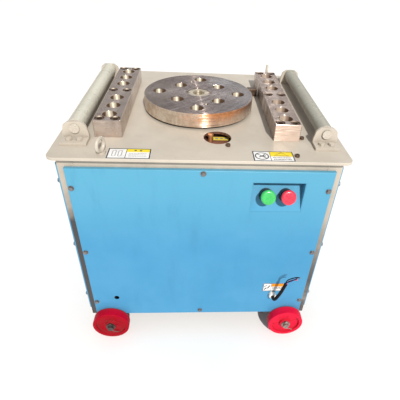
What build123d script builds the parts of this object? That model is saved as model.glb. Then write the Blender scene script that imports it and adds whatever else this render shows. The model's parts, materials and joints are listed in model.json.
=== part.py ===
"""Rebar bender: wheeled steel table with a turning disc, pin blocks, rollers and a motor drive.

Millimetres, +Z up.  The origin is on the floor, under the middle of the table.
The operator stands on the -Y side.
"""
import os
from math import asin, atan2, cos, hypot, pi, radians, sin, tan

from build123d import *

os.makedirs("parts", exist_ok=True)

# ---------------------------------------------------------------- driving dimensions
TABLE_X = 804.0
TABLE_Y = 716.0
TABLE_T = 8.0
TABLE_TOP = 726.0
TABLE_CORNER_R = 22.0
TABLE_BOTTOM = TABLE_TOP - TABLE_T

FRAME_X = 382.0  # outer faces of the angle-iron frame
FRAME_Y = 338.0
FRAME_LOW = 80.0
ANGLE_LEG = 40.0
RAIL_LEG = 50.0
ANGLE_T = 5.0

PANEL_LOW = 91.0
PANEL_HIGH = 690.0
PANEL_DEPTH = 12.0
PANEL_T = 2.0
FRONT_PANEL_W = 728.0
SIDE_PANEL_W = 640.0
SCREW_INSET = 10.0
SCREW_HEIGHTS = (158.0, 392.0, 629.0)
CENTRE_SCREW_HEIGHTS = (108.0, 681.0)

SPINDLE = (-12.0, -4.0)  # disc axis
DISC_R = 175.0
DISC_T = 42.0
DISC_TOP = 776.0
DISC_TURN = -3.0  # rotation of the whole hole pattern
DISC_HOLE_R = 20.0
OUTER_RING_R = 127.0
INNER_RING_R = 90.0
SPINDLE_R = 35.0
SPINDLE_BORE_R = 19.0
SPINDLE_BORE_DEPTH = 60.0

BLOCK_OFFSET = 251.3
BLOCK_X = 75.5
BLOCK_Y = 471.0
BLOCK_H = 50.0
BLOCK_HOLE_R = 20.5
BLOCK_PITCH = 63.0
BLOCK_BOLT_X = 21.5
BLOCK_BOLT_Y = 219.5
COUNTERBORE_R = 14.0
COUNTERBORE_DEPTH = 17.0

ROLLER_X = 346.0
ROLLER_Z = TABLE_TOP + 33.0
ROLLER_R = 21.2
ROLLER_HALF = 254.0
ROLLER_MID_Y = 8.0
ROLLER_JOURNAL_R = 10.0
ROLLER_CAP_R = 13.0
BRACKET_IN = 255.0
BRACKET_T = 8.0
BRACKET_OUT = 301.0

WHEEL_R = 62.5
WHEEL_W = 30.0
WHEEL_X = 313.0
WHEEL_Y = 367.0
AXLE_R = 10.0
AXLE_HALF = 395.0
PIN_Y = 390.5  # split pins outside the front and rear wheels

POCKET_X = (136.0, 287.0)
POCKET_Z = (555.0, 656.0)
POCKET_DEPTH = 45.0
BUTTON_X = (181.0, 238.5)
BUTTON_Z = 601.0

GLAND = (250.5, 194.5)  # X, Z of the cable gland
WINDOW = (41.0, -225.0)
WINDOW_R = 40.0
SPARE_HOLE = (-285.0, 178.0)

WORM_Y = -162.6
WORM_Z = 560.0
MOTOR_Y = -60.0
MOTOR_Z = 270.0
PULLEY_X = -232.0
WORM_PULLEY_R = 100.0
MOTOR_PULLEY_R = 40.0

# ---------------------------------------------------------------- reference planes
PANEL_MID_Z = (PANEL_LOW + PANEL_HIGH) / 2
FRONT = Plane(origin=(0, -FRAME_Y, PANEL_MID_Z), x_dir=(1, 0, 0), z_dir=(0, -1, 0))
REAR = Plane(origin=(0, FRAME_Y, PANEL_MID_Z), x_dir=(-1, 0, 0), z_dir=(0, 1, 0))
LEFT = Plane(origin=(-FRAME_X, 0, PANEL_MID_Z), x_dir=(0, -1, 0), z_dir=(-1, 0, 0))
RIGHT = Plane(origin=(FRAME_X, 0, PANEL_MID_Z), x_dir=(0, 1, 0), z_dir=(1, 0, 0))
PANEL_FACES = ((FRONT, FRONT_PANEL_W), (REAR, FRONT_PANEL_W), (LEFT, SIDE_PANEL_W), (RIGHT, SIDE_PANEL_W))

# the sloping button plate runs back from its lower edge to its upper edge
SLOPE = atan2(POCKET_DEPTH, POCKET_Z[1] - POCKET_Z[0])
PANEL_FACE_Y = -(FRAME_Y + PANEL_DEPTH)
BUTTON_Y = PANEL_FACE_Y + (BUTTON_Z - POCKET_Z[0]) * tan(SLOPE)


def button_plane(x):
    """Plane on the button plate's outer face, with its normal along the button's axis."""
    return Plane(origin=(x, BUTTON_Y, BUTTON_Z), x_dir=(1, 0, 0), z_dir=(0, -cos(SLOPE), sin(SLOPE)))


def screw_points(width):
    """Screw positions on a panel, in that panel's own plane."""
    edge = width / 2 - SCREW_INSET
    points = [(side * edge, z - PANEL_MID_Z) for side in (-1, 1) for z in SCREW_HEIGHTS]
    points += [(0, z - PANEL_MID_Z) for z in CENTRE_SCREW_HEIGHTS]
    return points


def around_spindle(radius, angles):
    """Points on a circle about the disc axis, turned with the disc's hole pattern."""
    return [
        (SPINDLE[0] + radius * cos(radians(a + DISC_TURN)), SPINDLE[1] + radius * sin(radians(a + DISC_TURN)))
        for a in angles
    ]


# ---------------------------------------------------------------- table plate
BLOCK_CENTRES = (SPINDLE[0] - BLOCK_OFFSET, SPINDLE[0] + BLOCK_OFFSET)
BLOCK_MID_Y = -3.0
block_bolt_points = [
    (cx + sx * BLOCK_BOLT_X, BLOCK_MID_Y + y)
    for cx in BLOCK_CENTRES
    for sx in (-1, 1)
    for y in (-BLOCK_BOLT_Y, 0, BLOCK_BOLT_Y)
]
bracket_bolt_points = [
    (sx * ROLLER_X + dx, ROLLER_MID_Y + sy * 282.0)
    for sx in (-1, 1)
    for dx in (-14.0, 14.0)
    for sy in (-1, 1)
]
eyebolt_points = [(-266.0, -327.0), (268.0, 345.0)]
table_screw_points = [(68.0, -275.0), (288.0, -222.0), (251.5, -328.0)]

with BuildPart() as table_top:
    with BuildSketch(Plane.XY.offset(TABLE_BOTTOM)):
        RectangleRounded(TABLE_X, TABLE_Y, TABLE_CORNER_R)
        with Locations(WINDOW):
            Circle(WINDOW_R, mode=Mode.SUBTRACT)
        with Locations(SPINDLE):
            Circle(70, mode=Mode.SUBTRACT)
        with Locations(table_screw_points):
            Circle(4.05, mode=Mode.SUBTRACT)
        with Locations(eyebolt_points):
            Circle(5.05, mode=Mode.SUBTRACT)
        with Locations(block_bolt_points):
            Circle(8.1, mode=Mode.SUBTRACT)
        with Locations(bracket_bolt_points):
            Circle(5.05, mode=Mode.SUBTRACT)
    extrude(amount=TABLE_T)
    outer_rim = table_top.faces().sort_by(Axis.Z)[-1].outer_wire().edges()
    chamfer(outer_rim, 1.0)

# ---------------------------------------------------------------- welded angle-iron frame
with BuildPart() as corner_posts:
    for sx in (-1, 1):
        for sy in (-1, 1):
            with BuildSketch(Plane.XY.offset(FRAME_LOW)):
                with Locations((sx * (FRAME_X - ANGLE_LEG / 2), sy * (FRAME_Y - ANGLE_T / 2))):
                    Rectangle(ANGLE_LEG, ANGLE_T)
                with Locations((sx * (FRAME_X - ANGLE_T / 2), sy * (FRAME_Y - ANGLE_LEG / 2))):
                    Rectangle(ANGLE_T, ANGLE_LEG)
            extrude(amount=TABLE_BOTTOM - FRAME_LOW)
    for face_plane, panel_width in PANEL_FACES:
        with BuildSketch(face_plane):
            with Locations(screw_points(panel_width)):
                Circle(3.2)
        extrude(amount=-ANGLE_T, mode=Mode.SUBTRACT)

FRONT_RAIL_X = FRAME_X - ANGLE_LEG
SIDE_RAIL_Y = FRAME_Y - ANGLE_LEG
SIDE_FLANGE_Y = FRAME_Y - RAIL_LEG - 0.4  # coped back, so the level legs don't meet at the corners


def rail_set(low_z, flange_z):
    """Four rails between the posts: an upright leg outside and a level leg turned inwards."""
    with BuildPart() as rails:
        for sy in (-1, 1):
            with Locations((0, sy * (FRAME_Y - ANGLE_T / 2), low_z + RAIL_LEG / 2)):
                Box(2 * FRONT_RAIL_X, ANGLE_T, RAIL_LEG)
            with Locations((0, sy * (FRAME_Y - RAIL_LEG / 2), flange_z)):
                Box(2 * FRONT_RAIL_X, RAIL_LEG, ANGLE_T)
        for sx in (-1, 1):
            with Locations((sx * (FRAME_X - ANGLE_T / 2), 0, low_z + RAIL_LEG / 2)):
                Box(ANGLE_T, 2 * SIDE_RAIL_Y, RAIL_LEG)
            with Locations((sx * (FRAME_X - RAIL_LEG / 2), 0, flange_z)):
                Box(RAIL_LEG, 2 * SIDE_FLANGE_Y, ANGLE_T)
        for face_plane, panel_width in PANEL_FACES:
            with BuildSketch(face_plane):
                with Locations(screw_points(panel_width)):
                    Circle(3.2)
            extrude(amount=-ANGLE_T, mode=Mode.SUBTRACT)
        with BuildSketch(Plane.XY.offset(TABLE_BOTTOM)):
            with Locations(eyebolt_points):
                Circle(5.05)
            with Locations(table_screw_points):
                Circle(4.05)
        extrude(amount=-ANGLE_T, mode=Mode.SUBTRACT)
    return rails


top_rails = rail_set(TABLE_BOTTOM - RAIL_LEG, TABLE_BOTTOM - ANGLE_T / 2)
bottom_rails = rail_set(FRAME_LOW, FRAME_LOW + ANGLE_T / 2)

# ---------------------------------------------------------------- folded sheet panels


def tray_panel(face_plane, width):
    """Shallow folded tray: a flat skin with a rim that bends back to the frame."""
    height = PANEL_HIGH - PANEL_LOW
    with BuildPart() as tray:
        with BuildSketch(face_plane):
            Rectangle(width, height)
        extrude(amount=PANEL_DEPTH)
        outward = Axis((0, 0, 0), face_plane.z_dir)
        skin = tray.faces().sort_by(outward)[-1]
        fillet(skin.edges(), 3.0)
        with BuildSketch(face_plane):
            Rectangle(width - 2 * PANEL_T, height - 2 * PANEL_T)
        extrude(amount=PANEL_DEPTH - PANEL_T, mode=Mode.SUBTRACT)
        with BuildSketch(face_plane):
            with Locations(screw_points(width)):
                Circle(3.3)
        extrude(amount=PANEL_DEPTH, mode=Mode.SUBTRACT)
    return tray


POCKET_MID = ((POCKET_X[0] + POCKET_X[1]) / 2, (POCKET_Z[0] + POCKET_Z[1]) / 2)
front_tray = tray_panel(FRONT, FRONT_PANEL_W)
with BuildPart() as front_panel:
    add(front_tray.part)
    with BuildSketch(FRONT):
        with Locations((POCKET_MID[0], POCKET_MID[1] - PANEL_MID_Z)):
            Rectangle(POCKET_X[1] - POCKET_X[0] + 0.2, POCKET_Z[1] - POCKET_Z[0] + 0.2)
        with Locations((GLAND[0], GLAND[1] - PANEL_MID_Z)):
            Circle(9.1)
        with Locations((SPARE_HOLE[0], SPARE_HOLE[1] - PANEL_MID_Z)):
            Circle(9)
    extrude(amount=PANEL_DEPTH, mode=Mode.SUBTRACT)

rear_panel = tray_panel(REAR, FRONT_PANEL_W)
left_panel = tray_panel(LEFT, SIDE_PANEL_W)
right_panel = tray_panel(RIGHT, SIDE_PANEL_W)

with BuildPart() as panel_screws:
    for face_plane, panel_width in PANEL_FACES:
        with BuildSketch(face_plane.offset(PANEL_DEPTH)):
            with Locations(screw_points(panel_width)):
                Circle(8)
        extrude(amount=1.2)
        with BuildSketch(face_plane.offset(PANEL_DEPTH + 1.2)):
            with Locations(screw_points(panel_width)):
                RegularPolygon(6.2, 6, major_radius=True)
        extrude(amount=4.0)
        with BuildSketch(face_plane.offset(PANEL_DEPTH + 1.2)):
            with Locations(screw_points(panel_width)):
                Circle(3)
        extrude(amount=-(PANEL_DEPTH + 1.2 + ANGLE_T + 1.0))

# ---------------------------------------------------------------- button pocket and buttons
POCKET_W = POCKET_X[1] - POCKET_X[0]
SHEET = 2.0
pocket_corner = (PANEL_FACE_Y, POCKET_Z[0] + SHEET * (sin(SLOPE) + cos(SLOPE) ** 2 / sin(SLOPE)))
pocket_top_y = PANEL_FACE_Y + (POCKET_Z[1] - SHEET - pocket_corner[1]) * tan(SLOPE)

with BuildPart() as button_pocket:
    with BuildSketch(Plane.YZ.offset(POCKET_X[0])):
        with BuildLine():
            Polyline(
                (PANEL_FACE_Y, POCKET_Z[0]),
                (PANEL_FACE_Y, POCKET_Z[1]),
                (PANEL_FACE_Y + POCKET_DEPTH, POCKET_Z[1]),
                close=True,
            )
        make_face()
    extrude(amount=POCKET_W)
    with BuildSketch(Plane.YZ.offset(POCKET_X[0] + SHEET)):
        with BuildLine():
            Polyline(
                (PANEL_FACE_Y, pocket_corner[1]),
                (PANEL_FACE_Y, POCKET_Z[1] - SHEET),
                (pocket_top_y, POCKET_Z[1] - SHEET),
                close=True,
            )
        make_face()
    extrude(amount=POCKET_W - 2 * SHEET, mode=Mode.SUBTRACT)
    for bx in BUTTON_X:
        with BuildSketch(button_plane(bx).offset(4)):
            Circle(11.1)
        extrude(amount=-12, mode=Mode.SUBTRACT)

BUTTON_SEAT = SHEET  # height of the plate's inner face above the reference plane


def push_button(x):
    """Mushroom cap on a round stem, standing out along the button axis."""
    plane = button_plane(x)
    with BuildPart() as button:
        with BuildSketch(plane.offset(-8)):
            Circle(9.3)
        extrude(amount=46)
        with BuildSketch(plane.offset(37.5)):
            Circle(21.5)
        extrude(amount=10.5)
        top = button.faces().sort_by(Axis((0, 0, 0), plane.z_dir))[-1]
        fillet(top.edges(), 7.0)
        skirt = [e for e in button.edges().filter_by(GeomType.CIRCLE) if abs(e.radius - 21.5) < 0.01]
        chamfer(ShapeList(skirt).sort_by(Axis((0, 0, 0), plane.z_dir))[0], 1.0)
    return button


start_button = push_button(BUTTON_X[0])
stop_button = push_button(BUTTON_X[1])

with BuildPart() as button_collars:
    for bx in BUTTON_X:
        plane = button_plane(bx)
        with BuildSketch(plane.offset(BUTTON_SEAT)):
            Circle(20.5)
            Circle(9.7, mode=Mode.SUBTRACT)
        extrude(amount=24)
        with BuildSketch(plane.offset(BUTTON_SEAT)):
            Circle(11)
            Circle(9.7, mode=Mode.SUBTRACT)
        extrude(amount=-16)

with BuildPart() as switch_blocks:
    for bx in BUTTON_X:
        plane = button_plane(bx)
        with BuildSketch(plane.offset(BUTTON_SEAT - 16)):
            RectangleRounded(30, 40, 2)
        extrude(amount=-34)

# ---------------------------------------------------------------- cable gland and cable
GLAND_PLANE = Plane(origin=(GLAND[0], PANEL_FACE_Y, GLAND[1]), x_dir=(1, 0, 0), z_dir=(0, -1, 0))
SHEATH_R = 5.6
CORE_R = 1.7

with BuildPart() as cable_gland:
    with BuildSketch(GLAND_PLANE.offset(-14)):
        Circle(9)
    extrude(amount=14)
    with BuildSketch(GLAND_PLANE):
        RegularPolygon(12, 6, major_radius=True)
    extrude(amount=6)
    with BuildSketch(GLAND_PLANE.offset(6)):
        Circle(12)
    extrude(amount=10)
    dome = cable_gland.faces().sort_by(Axis((0, 0, 0), (0, -1, 0)))[-1]
    fillet(dome.edges(), 4.5)
    with BuildSketch(GLAND_PLANE.offset(-14)):
        Circle(SHEATH_R + 0.05)
    extrude(amount=30, mode=Mode.SUBTRACT)
    with BuildSketch(GLAND_PLANE.offset(10)):
        Circle(SHEATH_R + 0.7)
    extrude(amount=6, mode=Mode.SUBTRACT)

sheath_route = [
    (250.5, -357.0, 194.5),
    (250.5, -368.0, 194.5),
    (251.3, -379.5, 197.8),
    (253.8, -386.2, 207.2),
    (258.5, -388.5, 220.0),
    (264.6, -390.3, 238.5),
    (270.6, -392.8, 263.5),
    (275.7, -396.0, 294.6),
]
sheath_run = Vector(*sheath_route[-1]) - Vector(*sheath_route[-2])
sheath_end = Plane(origin=sheath_route[-1], x_dir=(1, 0, -0.15), z_dir=sheath_run)


def core_start(angle):
    """Two points of a bare core: where it leaves the sheath's end face, and straight ahead of it."""
    across = (2.3 * cos(radians(angle)), 2.3 * sin(radians(angle)))
    return [tuple(sheath_end.from_local_coords((across[0], across[1], ahead))) for ahead in (0, 11)]


red_route = core_start(0) + [
    (284.6, -404.0, 318.5),
    (292.0, -408.5, 328.0),
    (302.5, -412.0, 331.5),
]
blue_route = core_start(240) + [
    (281.6, -409.5, 320.0),
    (290.0, -414.5, 333.0),
    (299.5, -418.0, 344.5),
]
black_route = core_start(120) + [
    (277.0, -400.0, 317.0),
    (283.5, -405.0, 328.5),
    (291.5, -411.0, 339.5),
    (299.5, -417.0, 349.0),
    (305.5, -421.0, 350.5),
]


def corner_radii(points):
    """Radius of each rounded corner: 0.45 of the shorter run over the tangent of half the turn."""
    radii = []
    for before, here, after in zip(points, points[1:], points[2:]):
        run_in = Vector(*here) - Vector(*before)
        run_out = Vector(*after) - Vector(*here)
        turn = radians(run_in.get_angle(run_out))
        shorter = min(run_in.length, run_out.length)
        radii.append(0.45 * shorter / tan(turn / 2))
    return radii


def tube(points, radius):
    """Round rod swept along straight runs that are joined by tangent arcs."""
    radii = corner_radii(points)
    print("route radii", [round(r, 1) for r in radii])
    start = Vector(*points[1]) - Vector(*points[0])
    with BuildPart() as rod:
        with BuildLine() as route:
            FilletPolyline(*points, radius=radii)
        with BuildSketch(Plane(origin=points[0], z_dir=start)):
            Circle(radius)
        sweep()
    print("  length", round(route.wires()[0].length, 1), "volume", round(rod.part.volume, 1))
    return rod


cable_sheath = tube(sheath_route, SHEATH_R)
core_red = tube(red_route, CORE_R)
core_blue = tube(blue_route, CORE_R)
core_black = tube(black_route, CORE_R)

# ---------------------------------------------------------------- labels
with BuildPart() as table_labels:
    with BuildSketch(Plane.XY.offset(TABLE_TOP)):
        with Locations((-194.5, -328.5), (187.0, -328.5)):
            RectangleRounded(113, 55, 2)
    extrude(amount=0.3)

with BuildPart() as panel_label:
    with BuildSketch(FRONT.offset(PANEL_DEPTH)):
        with Locations((253.5, 226.5 - PANEL_MID_Z)):
            Rectangle(77, 39)
    extrude(amount=0.3)

# ---------------------------------------------------------------- working disc and spindle
DISC_LOW = DISC_TOP - DISC_T
key_angles = (0, 180)

with BuildPart() as working_disc:
    with BuildSketch(Plane.XY.offset(DISC_LOW)):
        with Locations(SPINDLE):
            Circle(DISC_R)
            Circle(SPINDLE_R + 0.05, mode=Mode.SUBTRACT)
    extrude(amount=DISC_T)
    chamfer(working_disc.faces().sort_by(Axis.Z)[-1].outer_wire().edges(), 2.0)
    pin_points = around_spindle(OUTER_RING_R, (0, 90, 180, 270)) + around_spindle(INNER_RING_R, (45, 135, 225, 315))
    with BuildSketch(Plane.XY.offset(DISC_TOP)):
        with Locations(pin_points):
            Circle(DISC_HOLE_R)
    extrude(amount=-DISC_T, mode=Mode.SUBTRACT)
    mouths = [e for e in working_disc.edges().filter_by(GeomType.CIRCLE) if abs(e.radius - DISC_HOLE_R) < 0.01]
    chamfer([e for e in mouths if e.center().Z > DISC_TOP - 0.1], 1.5)
    with BuildSketch(Plane.XY.offset(DISC_TOP)):
        with Locations(around_spindle(102, (103 - DISC_TURN, -77 - DISC_TURN))):
            Circle(6)
    extrude(amount=-25, mode=Mode.SUBTRACT)
    with BuildSketch(Plane.XY.offset(DISC_TOP)):
        with Locations(around_spindle(SPINDLE_R, key_angles)):
            Rectangle(14, 12.1)
    extrude(amount=-22, mode=Mode.SUBTRACT)

with BuildPart() as spindle:
    with BuildSketch(Plane.XZ.offset(-SPINDLE[1])):
        with BuildLine():
            Polyline(
                (SPINDLE[0], 470),
                (SPINDLE[0] + 25, 470),
                (SPINDLE[0] + 25, 500),
                (SPINDLE[0] + 40, 500),
                (SPINDLE[0] + 40, 722),
                (SPINDLE[0] + 62, 722),
                (SPINDLE[0] + 62, DISC_LOW),
                (SPINDLE[0] + SPINDLE_R, DISC_LOW),
                (SPINDLE[0] + SPINDLE_R, DISC_TOP - 2.5),
                (SPINDLE[0] + SPINDLE_R - 1.5, DISC_TOP - 1),
                (SPINDLE[0], DISC_TOP - 1),
                close=True,
            )
        make_face()
    revolve(axis=Axis((SPINDLE[0], SPINDLE[1], 0), (0, 0, 1)))
    with BuildSketch(Plane.XY.offset(DISC_TOP)):
        with Locations(SPINDLE):
            Circle(SPINDLE_BORE_R)
    extrude(amount=-(SPINDLE_BORE_DEPTH + 1), mode=Mode.SUBTRACT)
    with BuildSketch(Plane.XY.offset(DISC_TOP)):
        with Locations(around_spindle(SPINDLE_R, key_angles)):
            Rectangle(14, 12.1)
    extrude(amount=-22, mode=Mode.SUBTRACT)

with BuildPart() as disc_keys:
    with BuildSketch(Plane.XY.offset(DISC_TOP - 22)):
        with Locations(around_spindle(SPINDLE_R, key_angles)):
            Rectangle(13.9, 12)
    extrude(amount=19)

# ---------------------------------------------------------------- pin blocks
row_offsets = (-3, -2, -1, 1, 2, 3)


def pin_block(centre_x):
    """Thick steel bar with a row of pin holes and pairs of counterbored bolt holes."""
    with BuildPart() as block:
        with BuildSketch(Plane.XY.offset(TABLE_TOP)):
            with Locations((centre_x, BLOCK_MID_Y)):
                Rectangle(BLOCK_X, BLOCK_Y)
        extrude(amount=BLOCK_H)
        chamfer(block.edges().filter_by(Axis.Z), 1.5)
        chamfer(block.faces().sort_by(Axis.Z)[-1].edges(), 1.5)
        with BuildSketch(Plane.XY.offset(TABLE_TOP + BLOCK_H)):
            with Locations([(centre_x, BLOCK_MID_Y + n * BLOCK_PITCH) for n in row_offsets]):
                Circle(BLOCK_HOLE_R)
        extrude(amount=-BLOCK_H, mode=Mode.SUBTRACT)
        rims = [e for e in block.edges().filter_by(GeomType.CIRCLE) if abs(e.radius - BLOCK_HOLE_R) < 0.01]
        chamfer([e for e in rims if e.center().Z > TABLE_TOP + BLOCK_H - 0.1], 1.0)
        bolts_here = [p for p in block_bolt_points if abs(p[0] - centre_x) < BLOCK_X / 2]
        with Locations(Plane.XY.offset(TABLE_TOP + BLOCK_H)):
            with Locations(bolts_here):
                CounterBoreHole(8.1, COUNTERBORE_R, COUNTERBORE_DEPTH, BLOCK_H)
    return block


left_pin_block = pin_block(BLOCK_CENTRES[0])
right_pin_block = pin_block(BLOCK_CENTRES[1])

BOLT_SEAT = TABLE_TOP + BLOCK_H - COUNTERBORE_DEPTH
with BuildPart() as block_bolts:
    with BuildSketch(Plane.XY.offset(BOLT_SEAT)):
        with Locations(block_bolt_points):
            Circle(12)
    extrude(amount=15)
    with BuildSketch(Plane.XY.offset(BOLT_SEAT)):
        with Locations(block_bolt_points):
            Circle(8)
    extrude(amount=-(BLOCK_H - COUNTERBORE_DEPTH + TABLE_T + 15))
    with BuildSketch(Plane.XY.offset(BOLT_SEAT + 15)):
        with Locations(block_bolt_points):
            RegularPolygon(8.1, 6, major_radius=True)
    extrude(amount=-8, mode=Mode.SUBTRACT)

with BuildPart() as block_nuts:
    with BuildSketch(Plane.XY.offset(TABLE_BOTTOM)):
        with Locations(block_bolt_points):
            RegularPolygon(13.8, 6, major_radius=True)
            Circle(8.05, mode=Mode.SUBTRACT)
    extrude(amount=-13)

with BuildPart() as stop_block:
    with BuildSketch(Plane.XY.offset(TABLE_TOP)):
        with Locations((180, 122)):
            RectangleRounded(34, 24, 2)
    extrude(amount=25)
    chamfer(stop_block.faces().sort_by(Axis.Z)[-1].edges(), 1.0)

# ---------------------------------------------------------------- rollers and their brackets


def roller_weldment(side):
    """Steel tube with welded end discs, on a rod whose journals run in the brackets, with a cap on each end."""
    rod_half = BRACKET_IN + BRACKET_T + 0.4
    axis_plane = Plane(origin=(side * ROLLER_X, ROLLER_MID_Y, ROLLER_Z), x_dir=(1, 0, 0), z_dir=(0, 1, 0))
    tube_plane = axis_plane.offset(-ROLLER_HALF)
    rod_plane = axis_plane.offset(-rod_half)
    with BuildPart() as roller:
        with BuildSketch(tube_plane):
            Circle(ROLLER_R)
        extrude(amount=2 * ROLLER_HALF)
        with BuildSketch(tube_plane.offset(8)):
            Circle(ROLLER_R - 3.5)
        extrude(amount=2 * ROLLER_HALF - 16, mode=Mode.SUBTRACT)
        with BuildSketch(rod_plane):
            Circle(ROLLER_JOURNAL_R)
        extrude(amount=2 * rod_half)
        for cap_start in (-rod_half - 5, rod_half):
            with BuildSketch(axis_plane.offset(cap_start)):
                Circle(ROLLER_CAP_R)
            extrude(amount=5)
    return roller


left_roller = roller_weldment(-1)
right_roller = roller_weldment(1)

with BuildPart() as roller_brackets:
    for sx in (-1, 1):
        for sy in (-1, 1):
            ear_plane = Plane(
                origin=(sx * ROLLER_X, ROLLER_MID_Y + sy * BRACKET_IN, TABLE_TOP),
                x_dir=(-sy, 0, 0),
                z_dir=(0, sy, 0),
            )
            with BuildSketch(ear_plane):
                with BuildLine():
                    Polyline(
                        (-35, 0),
                        (35, 0),
                        (35, 19),
                        (30, 41),
                        (17, 51),
                        (-17, 51),
                        (-30, 41),
                        (-35, 19),
                        close=True,
                    )
                make_face()
            extrude(amount=BRACKET_T)
            foot_mid = ROLLER_MID_Y + sy * (BRACKET_IN + BRACKET_OUT) / 2
            with Locations((sx * ROLLER_X, foot_mid, TABLE_TOP + 4)):
                Box(70, BRACKET_OUT - BRACKET_IN, 8)
            with BuildSketch(ear_plane):
                with Locations((0, ROLLER_Z - TABLE_TOP)):
                    Circle(ROLLER_JOURNAL_R + 0.08)
            extrude(amount=BRACKET_T, mode=Mode.SUBTRACT)
    with BuildSketch(Plane.XY.offset(TABLE_TOP)):
        with Locations(bracket_bolt_points):
            Circle(5.05)
    extrude(amount=8, mode=Mode.SUBTRACT)

with BuildPart() as bracket_bolts:
    with BuildSketch(Plane.XY.offset(TABLE_TOP + 8)):
        with Locations(bracket_bolt_points):
            RegularPolygon(8.5, 6, major_radius=True)
    extrude(amount=6.4)
    with BuildSketch(Plane.XY.offset(TABLE_TOP + 8)):
        with Locations(bracket_bolt_points):
            Circle(5)
    extrude(amount=-(8 + TABLE_T))

# ---------------------------------------------------------------- small screws in the table's front
with BuildPart() as table_screws:
    with BuildSketch(Plane.XY.offset(TABLE_TOP)):
        with Locations(table_screw_points):
            Circle(6.5)
    extrude(amount=6.5)
    crowns = [e for e in table_screws.edges().filter_by(GeomType.CIRCLE) if e.center().Z > TABLE_TOP + 1]
    fillet(crowns, 0.8)
    with BuildSketch(Plane.XY.offset(TABLE_TOP + 6.5)):
        with Locations(table_screw_points):
            RegularPolygon(3.4, 6, major_radius=True)
    extrude(amount=-4, mode=Mode.SUBTRACT)
    with BuildSketch(Plane.XY.offset(TABLE_TOP)):
        with Locations(table_screw_points):
            Circle(4)
    extrude(amount=-12)

# ---------------------------------------------------------------- lifting eyebolts
eyebolt_turns = (72.0, 80.0)
with BuildPart() as eyebolts:
    for (ex, ey), turn in zip(eyebolt_points, eyebolt_turns):
        ring_centre = (ex, ey, TABLE_TOP + 23)
        ring_normal = (sin(radians(turn)), -cos(radians(turn)), 0)
        with Locations(Plane(origin=ring_centre, z_dir=ring_normal)):
            Torus(17.5, 5)
        with BuildSketch(Plane.XY.offset(TABLE_TOP)):
            with Locations((ex, ey)):
                Circle(12.5)
        extrude(amount=5, taper=12)
        with BuildSketch(Plane.XY.offset(TABLE_TOP)):
            with Locations((ex, ey)):
                Circle(7.5)
        extrude(amount=7)
        with BuildSketch(Plane.XY.offset(TABLE_TOP)):
            with Locations((ex, ey)):
                Circle(5)
        extrude(amount=-18)

# ---------------------------------------------------------------- gearbox
BOX_X = (-170.0, 150.0)
BOX_Y = (-280.0, 160.0)
BOX_Z = (480.0, 690.0)
BOX_WALL = 14.0
OIL_PLUG = (21.5, -201.5)
BOX_MID = ((BOX_X[0] + BOX_X[1]) / 2, (BOX_Y[0] + BOX_Y[1]) / 2)
BOX_SIZE = (BOX_X[1] - BOX_X[0], BOX_Y[1] - BOX_Y[0])
WORM_AXIS = Plane(origin=(0, WORM_Y, WORM_Z), x_dir=(0, 1, 0), z_dir=(1, 0, 0))
cover_bolt_points = [(x, y) for x in (BOX_X[0] + 18, BOX_X[1] - 18) for y in (-262.0, -60.0, 142.0)]

with BuildPart() as gearbox_housing:
    with BuildSketch(Plane.XY.offset(BOX_Z[0])):
        with Locations(BOX_MID):
            RectangleRounded(BOX_SIZE[0], BOX_SIZE[1], 24)
    extrude(amount=BOX_Z[1] - BOX_Z[0])
    with BuildSketch(Plane.XY.offset(BOX_Z[0] + BOX_WALL)):
        with Locations(BOX_MID):
            RectangleRounded(BOX_SIZE[0] - 2 * BOX_WALL, BOX_SIZE[1] - 2 * BOX_WALL, 12)
    extrude(amount=BOX_Z[1] - BOX_Z[0], mode=Mode.SUBTRACT)
    with BuildSketch(WORM_AXIS.offset(BOX_X[0] - 5)):
        Circle(30.05)
    extrude(amount=BOX_SIZE[0] + 10, mode=Mode.SUBTRACT)
    with BuildSketch(Plane.XY.offset(BOX_Z[0])):
        with Locations(SPINDLE):
            Circle(45.05)
    extrude(amount=BOX_WALL, mode=Mode.SUBTRACT)

with BuildPart() as gearbox_cover:
    with BuildSketch(Plane.XY.offset(BOX_Z[1])):
        with Locations(BOX_MID):
            RectangleRounded(BOX_SIZE[0], BOX_SIZE[1], 24)
    extrude(amount=14)
    with BuildSketch(Plane.XY.offset(BOX_Z[1])):
        with Locations(SPINDLE):
            Circle(95)
    extrude(amount=TABLE_BOTTOM - BOX_Z[1])
    with BuildSketch(Plane.XY.offset(BOX_Z[1])):
        with Locations(SPINDLE):
            Circle(65.05)
        with Locations(OIL_PLUG):
            Circle(6.05)
    extrude(amount=TABLE_BOTTOM - BOX_Z[1], mode=Mode.SUBTRACT)

with BuildPart() as cover_bolts:
    with BuildSketch(Plane.XY.offset(BOX_Z[1] + 14)):
        with Locations(cover_bolt_points):
            RegularPolygon(9.5, 6, major_radius=True)
    extrude(amount=7)

with BuildPart() as oil_plug:
    with BuildSketch(Plane.XY.offset(BOX_Z[1] + 27.5)):
        with Locations(OIL_PLUG):
            RegularPolygon(8.6, 6, major_radius=True)
    extrude(amount=8.5)
    chamfer(oil_plug.faces().sort_by(Axis.Z)[-1].edges(), 1.0)
    with BuildSketch(Plane.XY.offset(BOX_Z[1])):
        with Locations(OIL_PLUG):
            Circle(6)
    extrude(amount=30)

with BuildPart() as oil_tag:
    with BuildSketch(Plane.XY.offset(BOX_Z[1] + 14)):
        with Locations((54, -188)):
            Rectangle(46, 19)
    extrude(amount=0.6)

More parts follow.
